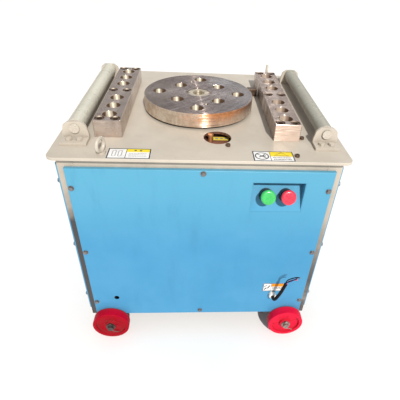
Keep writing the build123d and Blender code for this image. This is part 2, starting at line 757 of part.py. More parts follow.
with BuildPart() as bearings:
    with BuildSketch(Plane.XY.offset(BOX_Z[1])):
        with Locations(SPINDLE):
            Circle(65)
            Circle(40.06, mode=Mode.SUBTRACT)
    extrude(amount=20)
    with BuildSketch(Plane.XY.offset(BOX_Z[0])):
        with Locations(SPINDLE):
            Circle(45)
            Circle(25.06, mode=Mode.SUBTRACT)
    extrude(amount=BOX_WALL)
    for x in (BOX_X[0], BOX_X[1] - BOX_WALL):
        with BuildSketch(WORM_AXIS.offset(x)):
            Circle(30)
            Circle(15.06, mode=Mode.SUBTRACT)
        extrude(amount=BOX_WALL)

with BuildPart() as worm_wheel:
    with BuildSketch(Plane.XY.offset(WORM_Z - 25)):
        with Locations(SPINDLE):
            Circle(130)
            Circle(40.02, mode=Mode.SUBTRACT)
    extrude(amount=50)

with BuildPart() as worm_shaft:
    with BuildSketch(WORM_AXIS.offset(PULLEY_X - 20)):
        Circle(15)
    extrude(amount=BOX_X[1] - (PULLEY_X - 20))
    with BuildSketch(WORM_AXIS.offset(-120)):
        Circle(28)
    extrude(amount=220)

# ---------------------------------------------------------------- belt drive and motor
MOTOR_AXIS = Plane(origin=(0, MOTOR_Y, MOTOR_Z), x_dir=(0, 1, 0), z_dir=(1, 0, 0))
GROOVE = 8.0
BELT_GAP = 0.4


def pulley(axis_plane, outer_r, bore_r):
    """Belt pulley with two grooves between three flanges."""
    with BuildPart() as wheel:
        with BuildSketch(axis_plane.offset(PULLEY_X - 18)):
            Circle(outer_r - GROOVE)
            Circle(bore_r, mode=Mode.SUBTRACT)
        extrude(amount=36)
        for flange in (-18, -2, 14):
            with BuildSketch(axis_plane.offset(PULLEY_X + flange)):
                Circle(outer_r)
                Circle(bore_r, mode=Mode.SUBTRACT)
            extrude(amount=4)
    return wheel


worm_pulley = pulley(WORM_AXIS, WORM_PULLEY_R, 15.02)
motor_pulley = pulley(MOTOR_AXIS, MOTOR_PULLEY_R, 12.02)

AXIS_GAP = hypot(WORM_Y - MOTOR_Y, WORM_Z - MOTOR_Z)
AXIS_TILT = atan2(WORM_Z - MOTOR_Z, WORM_Y - MOTOR_Y)


def belt_outline(worm_r, motor_r):
    """Corner points of the straight belt runs around two pulleys, in the belt's plane."""
    half = pi / 2 + asin((worm_r - motor_r) / AXIS_GAP)
    angles = (AXIS_TILT + half, AXIS_TILT - half)
    centre_w = (0.0, 0.0)
    centre_m = (MOTOR_Y - WORM_Y, MOTOR_Z - WORM_Z)
    return [
        (centre_w[0] + worm_r * cos(angles[0]), centre_w[1] + worm_r * sin(angles[0])),
        (centre_m[0] + motor_r * cos(angles[0]), centre_m[1] + motor_r * sin(angles[0])),
        (centre_m[0] + motor_r * cos(angles[1]), centre_m[1] + motor_r * sin(angles[1])),
        (centre_w[0] + worm_r * cos(angles[1]), centre_w[1] + worm_r * sin(angles[1])),
    ]


worm_base = WORM_PULLEY_R - GROOVE
motor_base = MOTOR_PULLEY_R - GROOVE
with BuildPart() as drive_belts:
    for low_x in (PULLEY_X - 13.6, PULLEY_X + 2.4):
        for lift, step in ((GROOVE + 2, Mode.ADD), (BELT_GAP, Mode.SUBTRACT)):
            with BuildSketch(WORM_AXIS.offset(low_x)):
                Circle(worm_base + lift)
                with Locations((MOTOR_Y - WORM_Y, MOTOR_Z - WORM_Z)):
                    Circle(motor_base + lift)
                with BuildLine():
                    Polyline(*belt_outline(worm_base + lift, motor_base + lift), close=True)
                make_face()
            extrude(amount=11.2, mode=step)

with BuildPart() as motor_body:
    with BuildSketch(MOTOR_AXIS.offset(-120)):
        Circle(88)
        Circle(12.5, mode=Mode.SUBTRACT)
    extrude(amount=230)
    for y in (-60, 60):
        with Locations((-10, MOTOR_Y + y, MOTOR_Z - 85)):
            Box(150, 44, 30)
    with Locations((-10, MOTOR_Y, MOTOR_Z + 98)):
        Box(90, 80, 50)
    with BuildSketch(MOTOR_AXIS.offset(-125)):
        Circle(12.5)
    extrude(amount=240, mode=Mode.SUBTRACT)

with BuildPart() as motor_shaft:
    with BuildSketch(MOTOR_AXIS.offset(PULLEY_X - 20)):
        Circle(12)
    extrude(amount=140 - (PULLEY_X - 20))

with BuildPart() as motor_fan:
    with BuildSketch(MOTOR_AXIS.offset(116)):
        Circle(20)
        Circle(12.02, mode=Mode.SUBTRACT)
    extrude(amount=18)
    for n in range(6):
        with Locations(Plane(origin=(125, MOTOR_Y, MOTOR_Z), x_dir=(0, 1, 0), z_dir=(1, 0, 0))):
            with PolarLocations(40, 1, 60 * n):
                Box(44, 3, 18)

with BuildPart() as fan_cover:
    with BuildSketch(MOTOR_AXIS.offset(110)):
        Circle(88)
        Circle(84, mode=Mode.SUBTRACT)
    extrude(amount=42)
    with BuildSketch(MOTOR_AXIS.offset(152)):
        Circle(88)
        with PolarLocations(55, 12):
            Circle(9, mode=Mode.SUBTRACT)
    extrude(amount=3)

BEAM_LOW = FRAME_LOW + ANGLE_T
PLATE_LOW = 158.0
with BuildPart() as motor_mount:
    for x in (-90, 70):
        with Locations((x, 0, (BEAM_LOW + PLATE_LOW) / 2)):
            Box(40, 2 * (FRAME_Y - ANGLE_T), PLATE_LOW - BEAM_LOW)
            Box(34, 2 * (FRAME_Y - ANGLE_T), PLATE_LOW - BEAM_LOW - 6, mode=Mode.SUBTRACT)
    with BuildSketch(Plane.XY.offset(PLATE_LOW)):
        with Locations((-10, MOTOR_Y)):
            Rectangle(240, 220)
    extrude(amount=12)

with BuildPart() as control_box:
    with Locations((235, PANEL_FACE_Y + PANEL_T + 40, 335)):
        Box(130, 80, 170)
        Box(126, 76, 166, mode=Mode.SUBTRACT)

# ---------------------------------------------------------------- wheels and axles
with BuildPart() as wheel_axles:
    for sx in (-1, 1):
        rod_plane = Plane(origin=(sx * WHEEL_X, -AXLE_HALF, WHEEL_R), x_dir=(1, 0, 0), z_dir=(0, 1, 0))
        with BuildSketch(rod_plane):
            Circle(AXLE_R)
        extrude(amount=2 * AXLE_HALF)
        with BuildSketch(Plane.XY.offset(WHEEL_R - AXLE_R - 1)):
            with Locations((sx * WHEEL_X, -PIN_Y), (sx * WHEEL_X, PIN_Y)):
                Circle(2.4)
        extrude(amount=2 * AXLE_R + 2, mode=Mode.SUBTRACT)

with BuildPart() as axle_brackets:
    for sx in (-1, 1):
        for sy in (-1, 1):
            ear_plane = Plane(
                origin=(sx * WHEEL_X, sy * (FRAME_Y - 10), WHEEL_R), x_dir=(-sy, 0, 0), z_dir=(0, sy, 0)
            )
            with BuildSketch(ear_plane):
                Circle(17.5)
                with Locations((0, 8.75)):
                    Rectangle(50, 17.5)
                Circle(AXLE_R + 0.03, mode=Mode.SUBTRACT)
            extrude(amount=10)

with BuildPart() as wheel_washers:
    for sx in (-1, 1):
        for sy in (-1, 1):
            for start_y, ring_r, thickness in (
                (FRAME_Y, 15, WHEEL_Y - WHEEL_W / 2 - FRAME_Y - 0.5),
                (WHEEL_Y + WHEEL_W / 2 + 0.5, 16, 3.5),
            ):
                ring_plane = Plane(origin=(sx * WHEEL_X, sy * start_y, WHEEL_R), x_dir=(-sy, 0, 0), z_dir=(0, sy, 0))
                with BuildSketch(ring_plane):
                    Circle(ring_r)
                    Circle(AXLE_R + 0.03, mode=Mode.SUBTRACT)
                extrude(amount=thickness)

with BuildPart() as split_pins:
    for sx in (-1, 1):
        for sy in (-1, 1):
            with BuildSketch(Plane.XY.offset(WHEEL_R - 13)):
                with Locations((sx * WHEEL_X, sy * PIN_Y)):
                    Circle(2.2)
            extrude(amount=27)
            with Locations(Plane(origin=(sx * WHEEL_X, sy * PIN_Y, WHEEL_R + 18), z_dir=(0, 1, 0))):
                Torus(4.2, 1.9)
            bent_leg = Plane(origin=(sx * WHEEL_X, sy * PIN_Y, WHEEL_R - 12), z_dir=(-sy, 0, -0.32))
            with BuildSketch(bent_leg):
                Circle(1.4)
            extrude(amount=27)


def road_wheel(sx, sy):
    """Cast wheel: broad rim, recessed web with six ribs on each face, and a hub on the axle."""
    mid_plane = Plane(origin=(sx * WHEEL_X, sy * WHEEL_Y, WHEEL_R), x_dir=(1, 0, 0), z_dir=(0, -1, 0))
    with BuildPart() as wheel:
        with BuildSketch(mid_plane.offset(-WHEEL_W / 2)):
            Circle(WHEEL_R)
            Circle(AXLE_R + 0.06, mode=Mode.SUBTRACT)
        extrude(amount=WHEEL_W)
        tread = [e for e in wheel.edges().filter_by(GeomType.CIRCLE) if abs(e.radius - WHEEL_R) < 0.01]
        fillet(tread, 2.0)
        for face_sign in (-1, 1):
            with BuildSketch(mid_plane.offset(face_sign * WHEEL_W / 2)):
                Circle(50)
                Circle(21, mode=Mode.SUBTRACT)
            extrude(amount=-face_sign * 9, mode=Mode.SUBTRACT)
            with BuildSketch(mid_plane.offset(face_sign * (WHEEL_W / 2 - 9))):
                with PolarLocations(35.5, 6, 15):
                    Rectangle(31, 5)
            extrude(amount=face_sign * 1.2)
    return wheel


front_left_wheel = road_wheel(-1, -1)
front_right_wheel = road_wheel(1, -1)
rear_left_wheel = road_wheel(-1, 1)
rear_right_wheel = road_wheel(1, 1)

# ---------------------------------------------------------------- files
pieces = {
    "table_top": table_top,
    "corner_posts": corner_posts,
    "top_rails": top_rails,
    "bottom_rails": bottom_rails,
    "front_panel": front_panel,
    "rear_panel": rear_panel,
    "left_panel": left_panel,
    "right_panel": right_panel,
    "panel_screws": panel_screws,
    "button_pocket": button_pocket,
    "start_button": start_button,
    "stop_button": stop_button,
    "button_collars": button_collars,
    "switch_blocks": switch_blocks,
    "cable_gland": cable_gland,
    "cable_sheath": cable_sheath,
    "core_red": core_red,
    "core_blue": core_blue,
    "core_black": core_black,
    "table_labels": table_labels,
    "panel_label": panel_label,
    "working_disc": working_disc,
    "spindle": spindle,
    "disc_keys": disc_keys,
    "left_pin_block": left_pin_block,
    "right_pin_block": right_pin_block,
    "block_bolts": block_bolts,
    "block_nuts": block_nuts,
    "stop_block": stop_block,
    "left_roller": left_roller,
    "right_roller": right_roller,
    "roller_brackets": roller_brackets,
    "bracket_bolts": bracket_bolts,
    "table_screws": table_screws,
    "eyebolts": eyebolts,
    "gearbox_housing": gearbox_housing,
    "gearbox_cover": gearbox_cover,
    "cover_bolts": cover_bolts,
    "oil_plug": oil_plug,
    "oil_tag": oil_tag,
    "bearings": bearings,
    "worm_wheel": worm_wheel,
    "worm_shaft": worm_shaft,
    "worm_pulley": worm_pulley,
    "motor_pulley": motor_pulley,
    "drive_belts": drive_belts,
    "motor_body": motor_body,
    "motor_shaft": motor_shaft,
    "motor_fan": motor_fan,
    "fan_cover": fan_cover,
    "motor_mount": motor_mount,
    "control_box": control_box,
    "wheel_axles": wheel_axles,
    "axle_brackets": axle_brackets,
    "wheel_washers": wheel_washers,
    "split_pins": split_pins,
    "front_left_wheel": front_left_wheel,
    "front_right_wheel": front_right_wheel,
    "rear_left_wheel": rear_left_wheel,
    "rear_right_wheel": rear_right_wheel,
}
print(len(pieces), "pieces")
for label, piece in pieces.items():
    piece.part.label = label
    export_step(piece.part, f"parts/{label}.step")
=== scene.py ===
"""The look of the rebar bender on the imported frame: finishes, label prints, cords, light and camera."""

import json
import math
import random

import bmesh
import bpy
from mathutils import Matrix, Vector


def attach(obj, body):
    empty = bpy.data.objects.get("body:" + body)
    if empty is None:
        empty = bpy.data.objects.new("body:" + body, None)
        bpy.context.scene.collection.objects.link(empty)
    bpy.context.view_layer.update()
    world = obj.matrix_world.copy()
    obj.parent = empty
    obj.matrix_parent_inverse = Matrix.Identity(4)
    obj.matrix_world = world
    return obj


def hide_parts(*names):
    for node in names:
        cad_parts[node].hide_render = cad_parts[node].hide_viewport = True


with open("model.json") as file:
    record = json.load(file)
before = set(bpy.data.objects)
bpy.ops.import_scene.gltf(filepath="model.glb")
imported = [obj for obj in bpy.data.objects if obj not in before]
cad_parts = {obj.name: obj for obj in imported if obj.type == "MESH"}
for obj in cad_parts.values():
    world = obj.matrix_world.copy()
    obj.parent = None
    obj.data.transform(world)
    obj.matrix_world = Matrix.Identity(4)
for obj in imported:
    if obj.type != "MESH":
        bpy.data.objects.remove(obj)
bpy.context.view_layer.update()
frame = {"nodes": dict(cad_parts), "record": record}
scene = bpy.context.scene
MM = 0.001

# ---------------------------------------------------------------- camera
CAMERA_AT = Vector((-0.0254, -1.1997, 1.211))
YAW, PITCH, ROLL = (math.radians(a) for a in (5.21, 36.92, 3.66))
LENS_MM, SENSOR_MM = 33.6, 36.0
LENS_SHIFT = (-0.052, 0.018)


def make_camera():
    """The eye stands in front, above the table, and is turned a little to the right."""
    ahead = Vector(
        (math.sin(YAW) * math.cos(PITCH), math.cos(YAW) * math.cos(PITCH), -math.sin(PITCH))
    )
    level = Vector((math.cos(YAW), -math.sin(YAW), 0))
    upright = level.cross(ahead)
    right = math.cos(ROLL) * level + math.sin(ROLL) * upright
    up = -math.sin(ROLL) * level + math.cos(ROLL) * upright
    data = bpy.data.cameras.new("eye")
    data.lens, data.sensor_width = LENS_MM, SENSOR_MM
    data.shift_x, data.shift_y = LENS_SHIFT
    data.clip_start, data.clip_end = 0.05, 100
    eye = bpy.data.objects.new("eye", data)
    scene.collection.objects.link(eye)
    turn = Matrix((right, up, -ahead)).transposed().to_4x4()
    eye.matrix_world = Matrix.Translation(CAMERA_AT) @ turn
    scene.camera = eye


make_camera()


# ---------------------------------------------------------------- finishes
MIX_COLOUR_A, MIX_COLOUR_B, MIX_COLOUR_OUT = 6, 7, 2  # the Mix node's colour sockets share their names


class Finish:
    """One material's node tree, with short ways to add the patterns that the finishes share."""

    def __init__(self, name, metallic=0.0, **constants):
        self.material = bpy.data.materials.new(name)
        self.material.use_nodes = True
        self.tree = self.material.node_tree
        self.shader = self.tree.nodes["Principled BSDF"]
        self.shader.inputs["Metallic"].default_value = metallic
        for socket, value in constants.items():
            self.shader.inputs[socket.replace("_", " ")].default_value = value
        self.place = self.node("ShaderNodeTexCoord").outputs["Object"]
        self.normal = None

    def node(self, kind, **settings):
        made = self.tree.nodes.new(kind)
        for key, value in settings.items():
            setattr(made, key, value)
        return made

    def put(self, socket, value):
        """A number, a colour or another node's output goes into a socket."""
        if isinstance(value, bpy.types.NodeSocket):
            self.tree.links.new(value, socket)
        elif isinstance(value, (tuple, list)) and len(value) == 3 and socket.type == "RGBA":
            socket.default_value = (*value, 1.0)
        else:
            socket.default_value = value

    def noise(self, scale, detail=3.0, rough=0.5, stretch=(1, 1, 1), shift=(0, 0, 0), where=None):
        """Soft noise from 0 to 1, with about `scale` lumps to a metre."""
        moved = self.node("ShaderNodeMapping")
        self.put(moved.inputs["Vector"], where or self.place)
        moved.inputs["Location"].default_value = shift
        moved.inputs["Scale"].default_value = stretch
        made = self.node("ShaderNodeTexNoise")
        self.put(made.inputs["Vector"], moved.outputs["Vector"])
        made.inputs["Scale"].default_value = scale
        made.inputs["Detail"].default_value = detail
        made.inputs["Roughness"].default_value = rough
        return made.outputs["Fac"]

    def cells(self, scale):
        """Distance to scattered points, about `scale` of them to a metre."""
        made = self.node("ShaderNodeTexVoronoi")
        self.put(made.inputs["Vector"], self.place)
        made.inputs["Scale"].default_value = scale
        return made.outputs["Distance"]

    def ramp(self, value, low, high, out_low=0.0, out_high=1.0):
        """value goes smoothly from out_low at low to out_high at high."""
        made = self.node("ShaderNodeMapRange", interpolation_type="SMOOTHSTEP")
        self.put(made.inputs["Value"], value)
        numbers = {"From Min": low, "From Max": high, "To Min": out_low, "To Max": out_high}
        for socket, number in numbers.items():
            made.inputs[socket].default_value = number
        return made.outputs["Result"]

    def calc(self, operation, a, b=0.0, clamp=False):
        made = self.node("ShaderNodeMath", operation=operation, use_clamp=clamp)
        self.put(made.inputs[0], a)
        self.put(made.inputs[1], b)
        return made.outputs[0]

    def mix(self, amount, a, b):
        made = self.node("ShaderNodeMix", data_type="RGBA")
        self.put(made.inputs["Factor"], amount)
        self.put(made.inputs[MIX_COLOUR_A], a)
        self.put(made.inputs[MIX_COLOUR_B], b)
        return made.outputs[MIX_COLOUR_OUT]

    def edges(self, radius, low=0.02, high=0.25):
        """1 along convex and concave edges within radius, 0 on the flats."""
        rounded = self.node("ShaderNodeBevel", samples=4)
        rounded.inputs["Radius"].default_value = radius
        flat = self.node("ShaderNodeNewGeometry")
        dot = self.node("ShaderNodeVectorMath", operation="DOT_PRODUCT")
        self.put(dot.inputs[0], rounded.outputs["Normal"])
        self.put(dot.inputs[1], flat.outputs["Normal"])
        return self.ramp(self.calc("SUBTRACT", 1.0, dot.outputs["Value"]), low, high)

    def corners(self, distance, low=0.15, high=0.75):
        """1 deep in crevices, 0 in the open."""
        near = self.node("ShaderNodeAmbientOcclusion", samples=4)
        near.inputs["Distance"].default_value = distance
        return self.ramp(self.calc("SUBTRACT", 1.0, near.outputs["AO"]), low, high)

    def bump(self, height, distance, strength=1.0):
        """Relief that is `distance` metres deep, on top of any relief added before."""
        made = self.node("ShaderNodeBump")
        made.inputs["Strength"].default_value = strength
        made.inputs["Distance"].default_value = distance
        self.put(made.inputs["Height"], height)
        if self.normal is not None:
            self.put(made.inputs["Normal"], self.normal)
        self.normal = made.outputs["Normal"]

    def split(self, vector=None):
        made = self.node("ShaderNodeSeparateXYZ")
        self.put(made.inputs[0], vector or self.place)
        return made.outputs

    def around(self, centre):
        """Distance from a vertical axis, height along it, and the direction from it as two numbers."""
        moved = self.node("ShaderNodeVectorMath", operation="SUBTRACT")
        self.put(moved.inputs[0], self.place)
        moved.inputs[1].default_value = centre
        x, y, z = self.split(moved.outputs[0])
        r = self.calc("SQRT", self.calc("ADD", self.calc("MULTIPLY", x, x), self.calc("MULTIPLY", y, y)))
        return r, z, self.calc("DIVIDE", x, r), self.calc("DIVIDE", y, r)

    def turned(self, centre, pitch=900.0, spread=1.5):
        """Fine tool lines that run round a vertical axis, on the top and on the sides."""
        r, h, c, s = self.around(centre)
        where = self.node("ShaderNodeCombineXYZ")
        self.put(where.inputs[0], self.calc("MULTIPLY", r, pitch))
        self.put(where.inputs[1], self.calc("MULTIPLY", c, spread))
        self.put(where.inputs[2], self.calc("MULTIPLY", s, spread))
        made = self.node("ShaderNodeTexNoise", noise_dimensions="4D")
        self.put(made.inputs["Vector"], where.outputs[0])
        self.put(made.inputs["W"], self.calc("MULTIPLY", h, pitch))
        made.inputs["Scale"].default_value = 1.0
        made.inputs["Detail"].default_value = 3.0
        return made.outputs["Fac"]

    def vector(self, operation, a, b=(0, 0, 0)):
        made = self.node("ShaderNodeVectorMath", operation=operation)
        self.put(made.inputs[0], a)
        self.put(made.inputs[1], b)
        return made.outputs[0]

    def grain(self, lines, noise, slope):
        """Tool lines in the world direction `lines`: their flanks tilt to both sides by up to `slope`."""
        faces = self.node("ShaderNodeNewGeometry")
        across = self.vector("CROSS_PRODUCT", faces.outputs["Normal"], lines)
        across = self.vector("NORMALIZE", self.vector("ADD", across, (0.0, 0.0, 0.03)))
        self.put(self.shader.inputs["Tangent"], across)
        amount = self.calc("MULTIPLY", self.calc("SUBTRACT", noise, 0.5), slope)
        tilt = self.node("ShaderNodeVectorMath", operation="SCALE")
        self.put(tilt.inputs[0], across)
        self.put(tilt.inputs["Scale"], amount)
        base = faces.outputs["Normal"] if self.normal is None else self.normal
        self.normal = self.vector("NORMALIZE", self.vector("ADD", base, tilt.outputs[0]))

    def circling(self, centre):
        """World direction that runs round a vertical axis."""
        faces = self.node("ShaderNodeNewGeometry")
        outward = self.vector("SUBTRACT", faces.outputs["Position"], centre)
        outward = self.vector("MULTIPLY", outward, (1, 1, 0))
        return self.vector("NORMALIZE", self.vector("CROSS_PRODUCT", (0, 0, 1), outward))

    def done(self, colour, roughness, metallic=None):
        self.put(self.shader.inputs["Base Color"], colour)
        self.put(self.shader.inputs["Roughness"], roughness)
        if metallic is not None:
            self.put(self.shader.inputs["Metallic"], metallic)
        if self.normal is not None:
            self.put(self.shader.inputs["Normal"], self.normal)
        return self.material


RUST = (0.30, 0.105, 0.03)
# the colour of dirt specks, and of the painted shade in corners
DIRT_AND_SHADE = (0.13, 0.10, 0.075)
SOOT_AND_SHADE = (0.042, 0.040, 0.042)
ORANGE_PEEL = 0.00006
GRAIN_SLOPE, SOFT_SLOPE, END_SLOPE = 5.0, 3.0, 2.2  # how steep the flanks of the tool lines are
X_AXIS, Y_AXIS = 0, 1
FINE_PITCH = 2600.0  # the finest tool lines, to a metre
SQUARE_ON = 0.8  # a surface that faces this squarely along an axis is an end face or a top
CREAM, CREAM_SHADE = (0.55, 0.495, 0.42), (0.485, 0.435, 0.365)


def darker(colour, factor):
    return tuple(c * factor for c in colour)


def facing_side(f, axis):
    """How squarely the surface faces along a world axis, in either direction, from 0 to 1."""
    return f.calc("ABSOLUTE", f.split(f.node("ShaderNodeNewGeometry").outputs["Normal"])[axis])


def painted(
    name,
    colour,
    shade,
    gloss=0.38,
    chips=0.62,
    grime_and_shade=0.6,
    soil_and_shade=0.0,
    cut=None,
    specular=0.5,
    rubbed=0.0,
    colour_high_up=None,
    face=None,
):
    """Sprayed enamel on steel: uneven tone, orange peel, grime and painted shade in corners, edge chips
    and rust.

    soiled darkens the paint towards the bottom, fully on the left side, where it is painted shade; cut is
    the burnt wall round a (centre, reach) opening, rubbed is the anisotropy of paint that bars have rolled
    on, bleached is the colour high up, and face is the colour of painted shade on the sides that face
    along Y.
    """
    f = Finish(name, Specular_IOR_Level=specular, Anisotropic=rubbed)
    tone = f.ramp(f.noise(7, 4, 0.6), 0.3, 0.7)
    base = f.mix(tone, colour, shade)
    # painted shade: the sides that face along Y take the darker colour given for them
    if face is not None:
        base = f.mix(f.ramp(facing_side(f, Y_AXIS), 0.7, 0.9), base, face)
    # lighter towards the top
    if colour_high_up is not None:
        base = f.mix(f.ramp(f.split()[2], 0.36, 0.69, 0.0, 0.9), base, colour_high_up)
    # darker towards the bottom, and fully on the left side, where it is painted shade
    if soil_and_shade:
        low = f.ramp(f.split()[2], 0.2, 0.71, soil_and_shade, 0.0)
        cloudy = f.ramp(f.noise(11, 4, 0.6, shift=(4, 4, 1)), 0.25, 0.6, 0.6, 1.0)
        low = f.calc("MULTIPLY", low, cloudy)
        low = f.calc("MULTIPLY", low, f.ramp(f.split()[0], -0.30, -0.15, 1.0, 0.35), clamp=True)
        base = f.mix(low, base, SOOT_AND_SHADE)
    streak = f.ramp(f.noise(16, 5, 0.65, stretch=(1, 1, 0.25), shift=(3, 1, 2)), 0.52, 0.8, 0, 0.35)
    base = f.mix(streak, base, darker(shade, 0.8))
    speck = f.ramp(f.noise(420, 2, 0.6), 0.66, 0.76, 0, 0.35)
    base = f.mix(speck, base, DIRT_AND_SHADE)
    # dust and painted shade: the corners are darkened towards the dirt colour
    dust_and_shade = f.calc("MULTIPLY", f.corners(0.022), f.ramp(f.noise(38, 4, 0.6), 0.3, 0.65, 0.25, grime_and_shade))
    base = f.mix(dust_and_shade, base, DIRT_AND_SHADE)
    edge = f.edges(0.0016)
    chip = f.calc("MULTIPLY", edge, f.ramp(f.noise(120, 4, 0.7, shift=(5, 5, 5)), chips, chips + 0.05))
    rim = f.calc("MULTIPLY", edge, f.ramp(f.noise(60, 3, 0.6), 0.45, 0.6, 0, 0.35))
    base = f.mix(rim, base, darker(shade, 0.62))
    bare = f.mix(f.ramp(f.noise(260, 3), 0.4, 0.6), (0.16, 0.13, 0.11), RUST)
    base = f.mix(chip, base, bare)
    rough = f.ramp(f.noise(24, 4, 0.6, shift=(1, 7, 2)), 0.3, 0.7, gloss - 0.06, gloss + 0.1)
    rough = f.calc("ADD", rough, f.calc("MULTIPLY", dust_and_shade, 0.35), clamp=True)
    if cut is not None:
        centre, reach = cut
        near = f.calc("LESS_THAN", f.around(centre)[0], reach)
        burnt = f.calc("MULTIPLY", near, f.calc("LESS_THAN", f.split()[2], centre[2]))
        scale = f.ramp(f.noise(130, 4, 0.7), 0.3, 0.7)
        base = f.mix(burnt, base, f.mix(scale, (0.075, 0.03, 0.018), (0.20, 0.10, 0.065)))
    f.bump(f.noise(520, 2, 0.5), ORANGE_PEEL)
    f.bump(f.noise(26, 2, 0.5), 0.0004, 0.5)
    f.bump(f.calc("SUBTRACT", 1.0, chip), 0.00012)
    if rubbed:
        faces = f.node("ShaderNodeNewGeometry")
        round_roller = f.vector("CROSS_PRODUCT", (0, 1, 0), faces.outputs["Normal"])
        f.grain(round_roller, f.noise(900, 2, 0.6), SOFT_SLOPE)
        base = f.mix(f.calc("GREATER_THAN", facing_side(f, Y_AXIS), SQUARE_ON), base, CREAM)
    return f.done(base, rough)


# the pale colour is a painted highlight on the hole walls
BORE_HIGHLIGHT, BORE_BROWN = (0.80, 0.70, 0.56), (0.17, 0.105, 0.065)
BLOCKS_MIDDLE = (-0.012, -0.003)
BLOCK_OFFSET = 0.2513  # from the middle between the two blocks to either block's centre line
HOLES_HALF = (0.0368, 0.2345)  # the holes of one block lie within this far of its centre


def bored(f, inside):
    """1 on the walls of the holes, and the walls' colour: a painted highlight, a pale band between brown
    sides.
    """
    faces = f.node("ShaderNodeNewGeometry")
    towards = f.split(faces.outputs["Normal"])
    wall = f.calc("MULTIPLY", inside, f.calc("LESS_THAN", f.calc("ABSOLUTE", towards[2]), 0.6))
    side = f.calc("ABSOLUTE", f.calc("SUBTRACT", towards[0], 0.22))
    uneven = f.calc("SUBTRACT", f.noise(70, 4, 0.65, stretch=(1, 1, 0.3)), 0.5)
    uneven = f.calc("MULTIPLY", uneven, 0.6)
    # painted highlight: pale down the middle of each wall, brown towards its sides
    stain = f.ramp(f.calc("ADD", side, uneven), 0.28, 0.6)
    return wall, f.mix(stain, BORE_HIGHLIGHT, BORE_BROWN)


def ground(name, colour, shade, rough=0.2, rust=0.66):
    """Bar stock ground straight across: lines along X, oil stains, bright edges, brown holes, rust,
    painted shade on sides, tops and right ends, and painted highlights along the tops and in the holes.
    """
    f = Finish(name, Anisotropic=0.96)
    x, y, z = f.split()
    from_middle = f.calc("ABSOLUTE", f.calc("ADD", x, -BLOCKS_MIDDLE[0]))
    off = f.calc("SUBTRACT", from_middle, BLOCK_OFFSET)
    along = f.calc("ABSOLUTE", f.calc("ADD", y, -BLOCKS_MIDDLE[1]))
    inside = f.calc("LESS_THAN", f.calc("ABSOLUTE", off), HOLES_HALF[0])
    inside = f.calc("MULTIPLY", inside, f.calc("LESS_THAN", along, HOLES_HALF[1]))
    wall, wall_colour_and_highlight = bored(f, inside)
    lines = f.noise(900, 4, 0.7, stretch=(0.02, 1, 1))
    coarse = f.noise(150, 3, 0.6, stretch=(0.03, 1, 1))
    tone = f.ramp(f.noise(15, 5, 0.65), 0.32, 0.68)
    base = f.mix(tone, colour, shade)
    base = f.mix(f.ramp(lines, 0.35, 0.75, 0.0, 0.4), base, darker(colour, 0.6))
    stain = f.ramp(f.noise(42, 4, 0.7, shift=(2, 9, 4)), 0.56, 0.75, 0, 0.4)
    base = f.mix(stain, base, (0.27, 0.17, 0.11))
    # oil streaks and painted shade: the side faces are darkened, the right block's most
    flank = f.ramp(facing_side(f, X_AXIS), 0.55, 0.95)
    streaks = f.ramp(f.noise(70, 4, 0.65, stretch=(1, 1, 0.12)), 0.3, 0.65)
    oil_and_shade = f.calc("MULTIPLY", streaks, f.ramp(x, -0.1, 0.1, 0.5, 0.95))
    base = f.mix(f.calc("MULTIPLY", flank, oil_and_shade), base, (0.24, 0.16, 0.11))
    base = f.mix(wall, base, wall_colour_and_highlight)
    edge = f.edges(0.0014)
    edge = f.calc("MULTIPLY", edge, f.calc("SUBTRACT", 1.0, inside))
    base = f.mix(f.calc("MULTIPLY", edge, 0.4), base, (0.88, 0.80, 0.74))
    # painted highlight: a pale lane along the middle of each block's top
    highlight_lane = f.ramp(f.calc("ABSOLUTE", f.calc("ADD", off, 0.004)), 0.004, 0.016, 0.55, 0.0)
    level = f.split(f.node("ShaderNodeNewGeometry").outputs["Normal"])[2]
    upper = f.calc("GREATER_THAN", level, SQUARE_ON)
    end = f.calc("GREATER_THAN", facing_side(f, Y_AXIS), SQUARE_ON)
    end = f.calc("MULTIPLY", end, f.calc("GREATER_THAN", x, 0.0))
    # painted shade: the end faces of the right block are darkened
    base = f.mix(f.calc("MULTIPLY", end, 0.75), base, (0.40, 0.29, 0.225))
    # painted shade: the tops are darkened, the right block's more
    top_shade = f.calc("MULTIPLY", upper, f.ramp(x, -0.1, 0.1, 0.48, 0.66))
    base = f.mix(top_shade, base, (0.15, 0.11, 0.105))
    base = f.mix(f.calc("MULTIPLY", upper, f.calc("MULTIPLY", highlight_lane, tone)), base, (0.80, 0.68, 0.62))
    spot = f.ramp(f.noise(95, 5, 0.75, shift=(8, 2, 6)), rust, rust + 0.09)
    base = f.mix(spot, base, RUST)
    shine = f.ramp(coarse, 0.3, 0.7, rough, rough + 0.05)
    worn = f.calc("MAXIMUM", spot, wall)
    shine = f.calc("ADD", shine, f.calc("MULTIPLY", worn, 0.36), clamp=True)
    shine = f.calc("ADD", shine, f.calc("MULTIPLY", end, 0.06), clamp=True)
    smooth = f.calc("SUBTRACT", 1.0, end)
    f.bump(f.calc("MULTIPLY", coarse, smooth), 0.00003)
    f.bump(f.calc("MULTIPLY", f.noise(30, 2), smooth), 0.0003, 0.3)
    steep = f.ramp(end, 0.0, 1.0, GRAIN_SLOPE, END_SLOPE)
    slope = f.calc("MULTIPLY", f.calc("SUBTRACT", 1.0, wall), steep)
    f.grain((1, 0, 0), f.noise(FINE_PITCH, 2, 0.6, stretch=(0.01, 1, 1), shift=(0, 3, 5)), slope)
    metal = f.calc("SUBTRACT", 0.84, f.calc("MULTIPLY", worn, 0.4))
    return f.done(base, shine, f.calc("SUBTRACT", metal, f.calc("MULTIPLY", end, 0.38)))


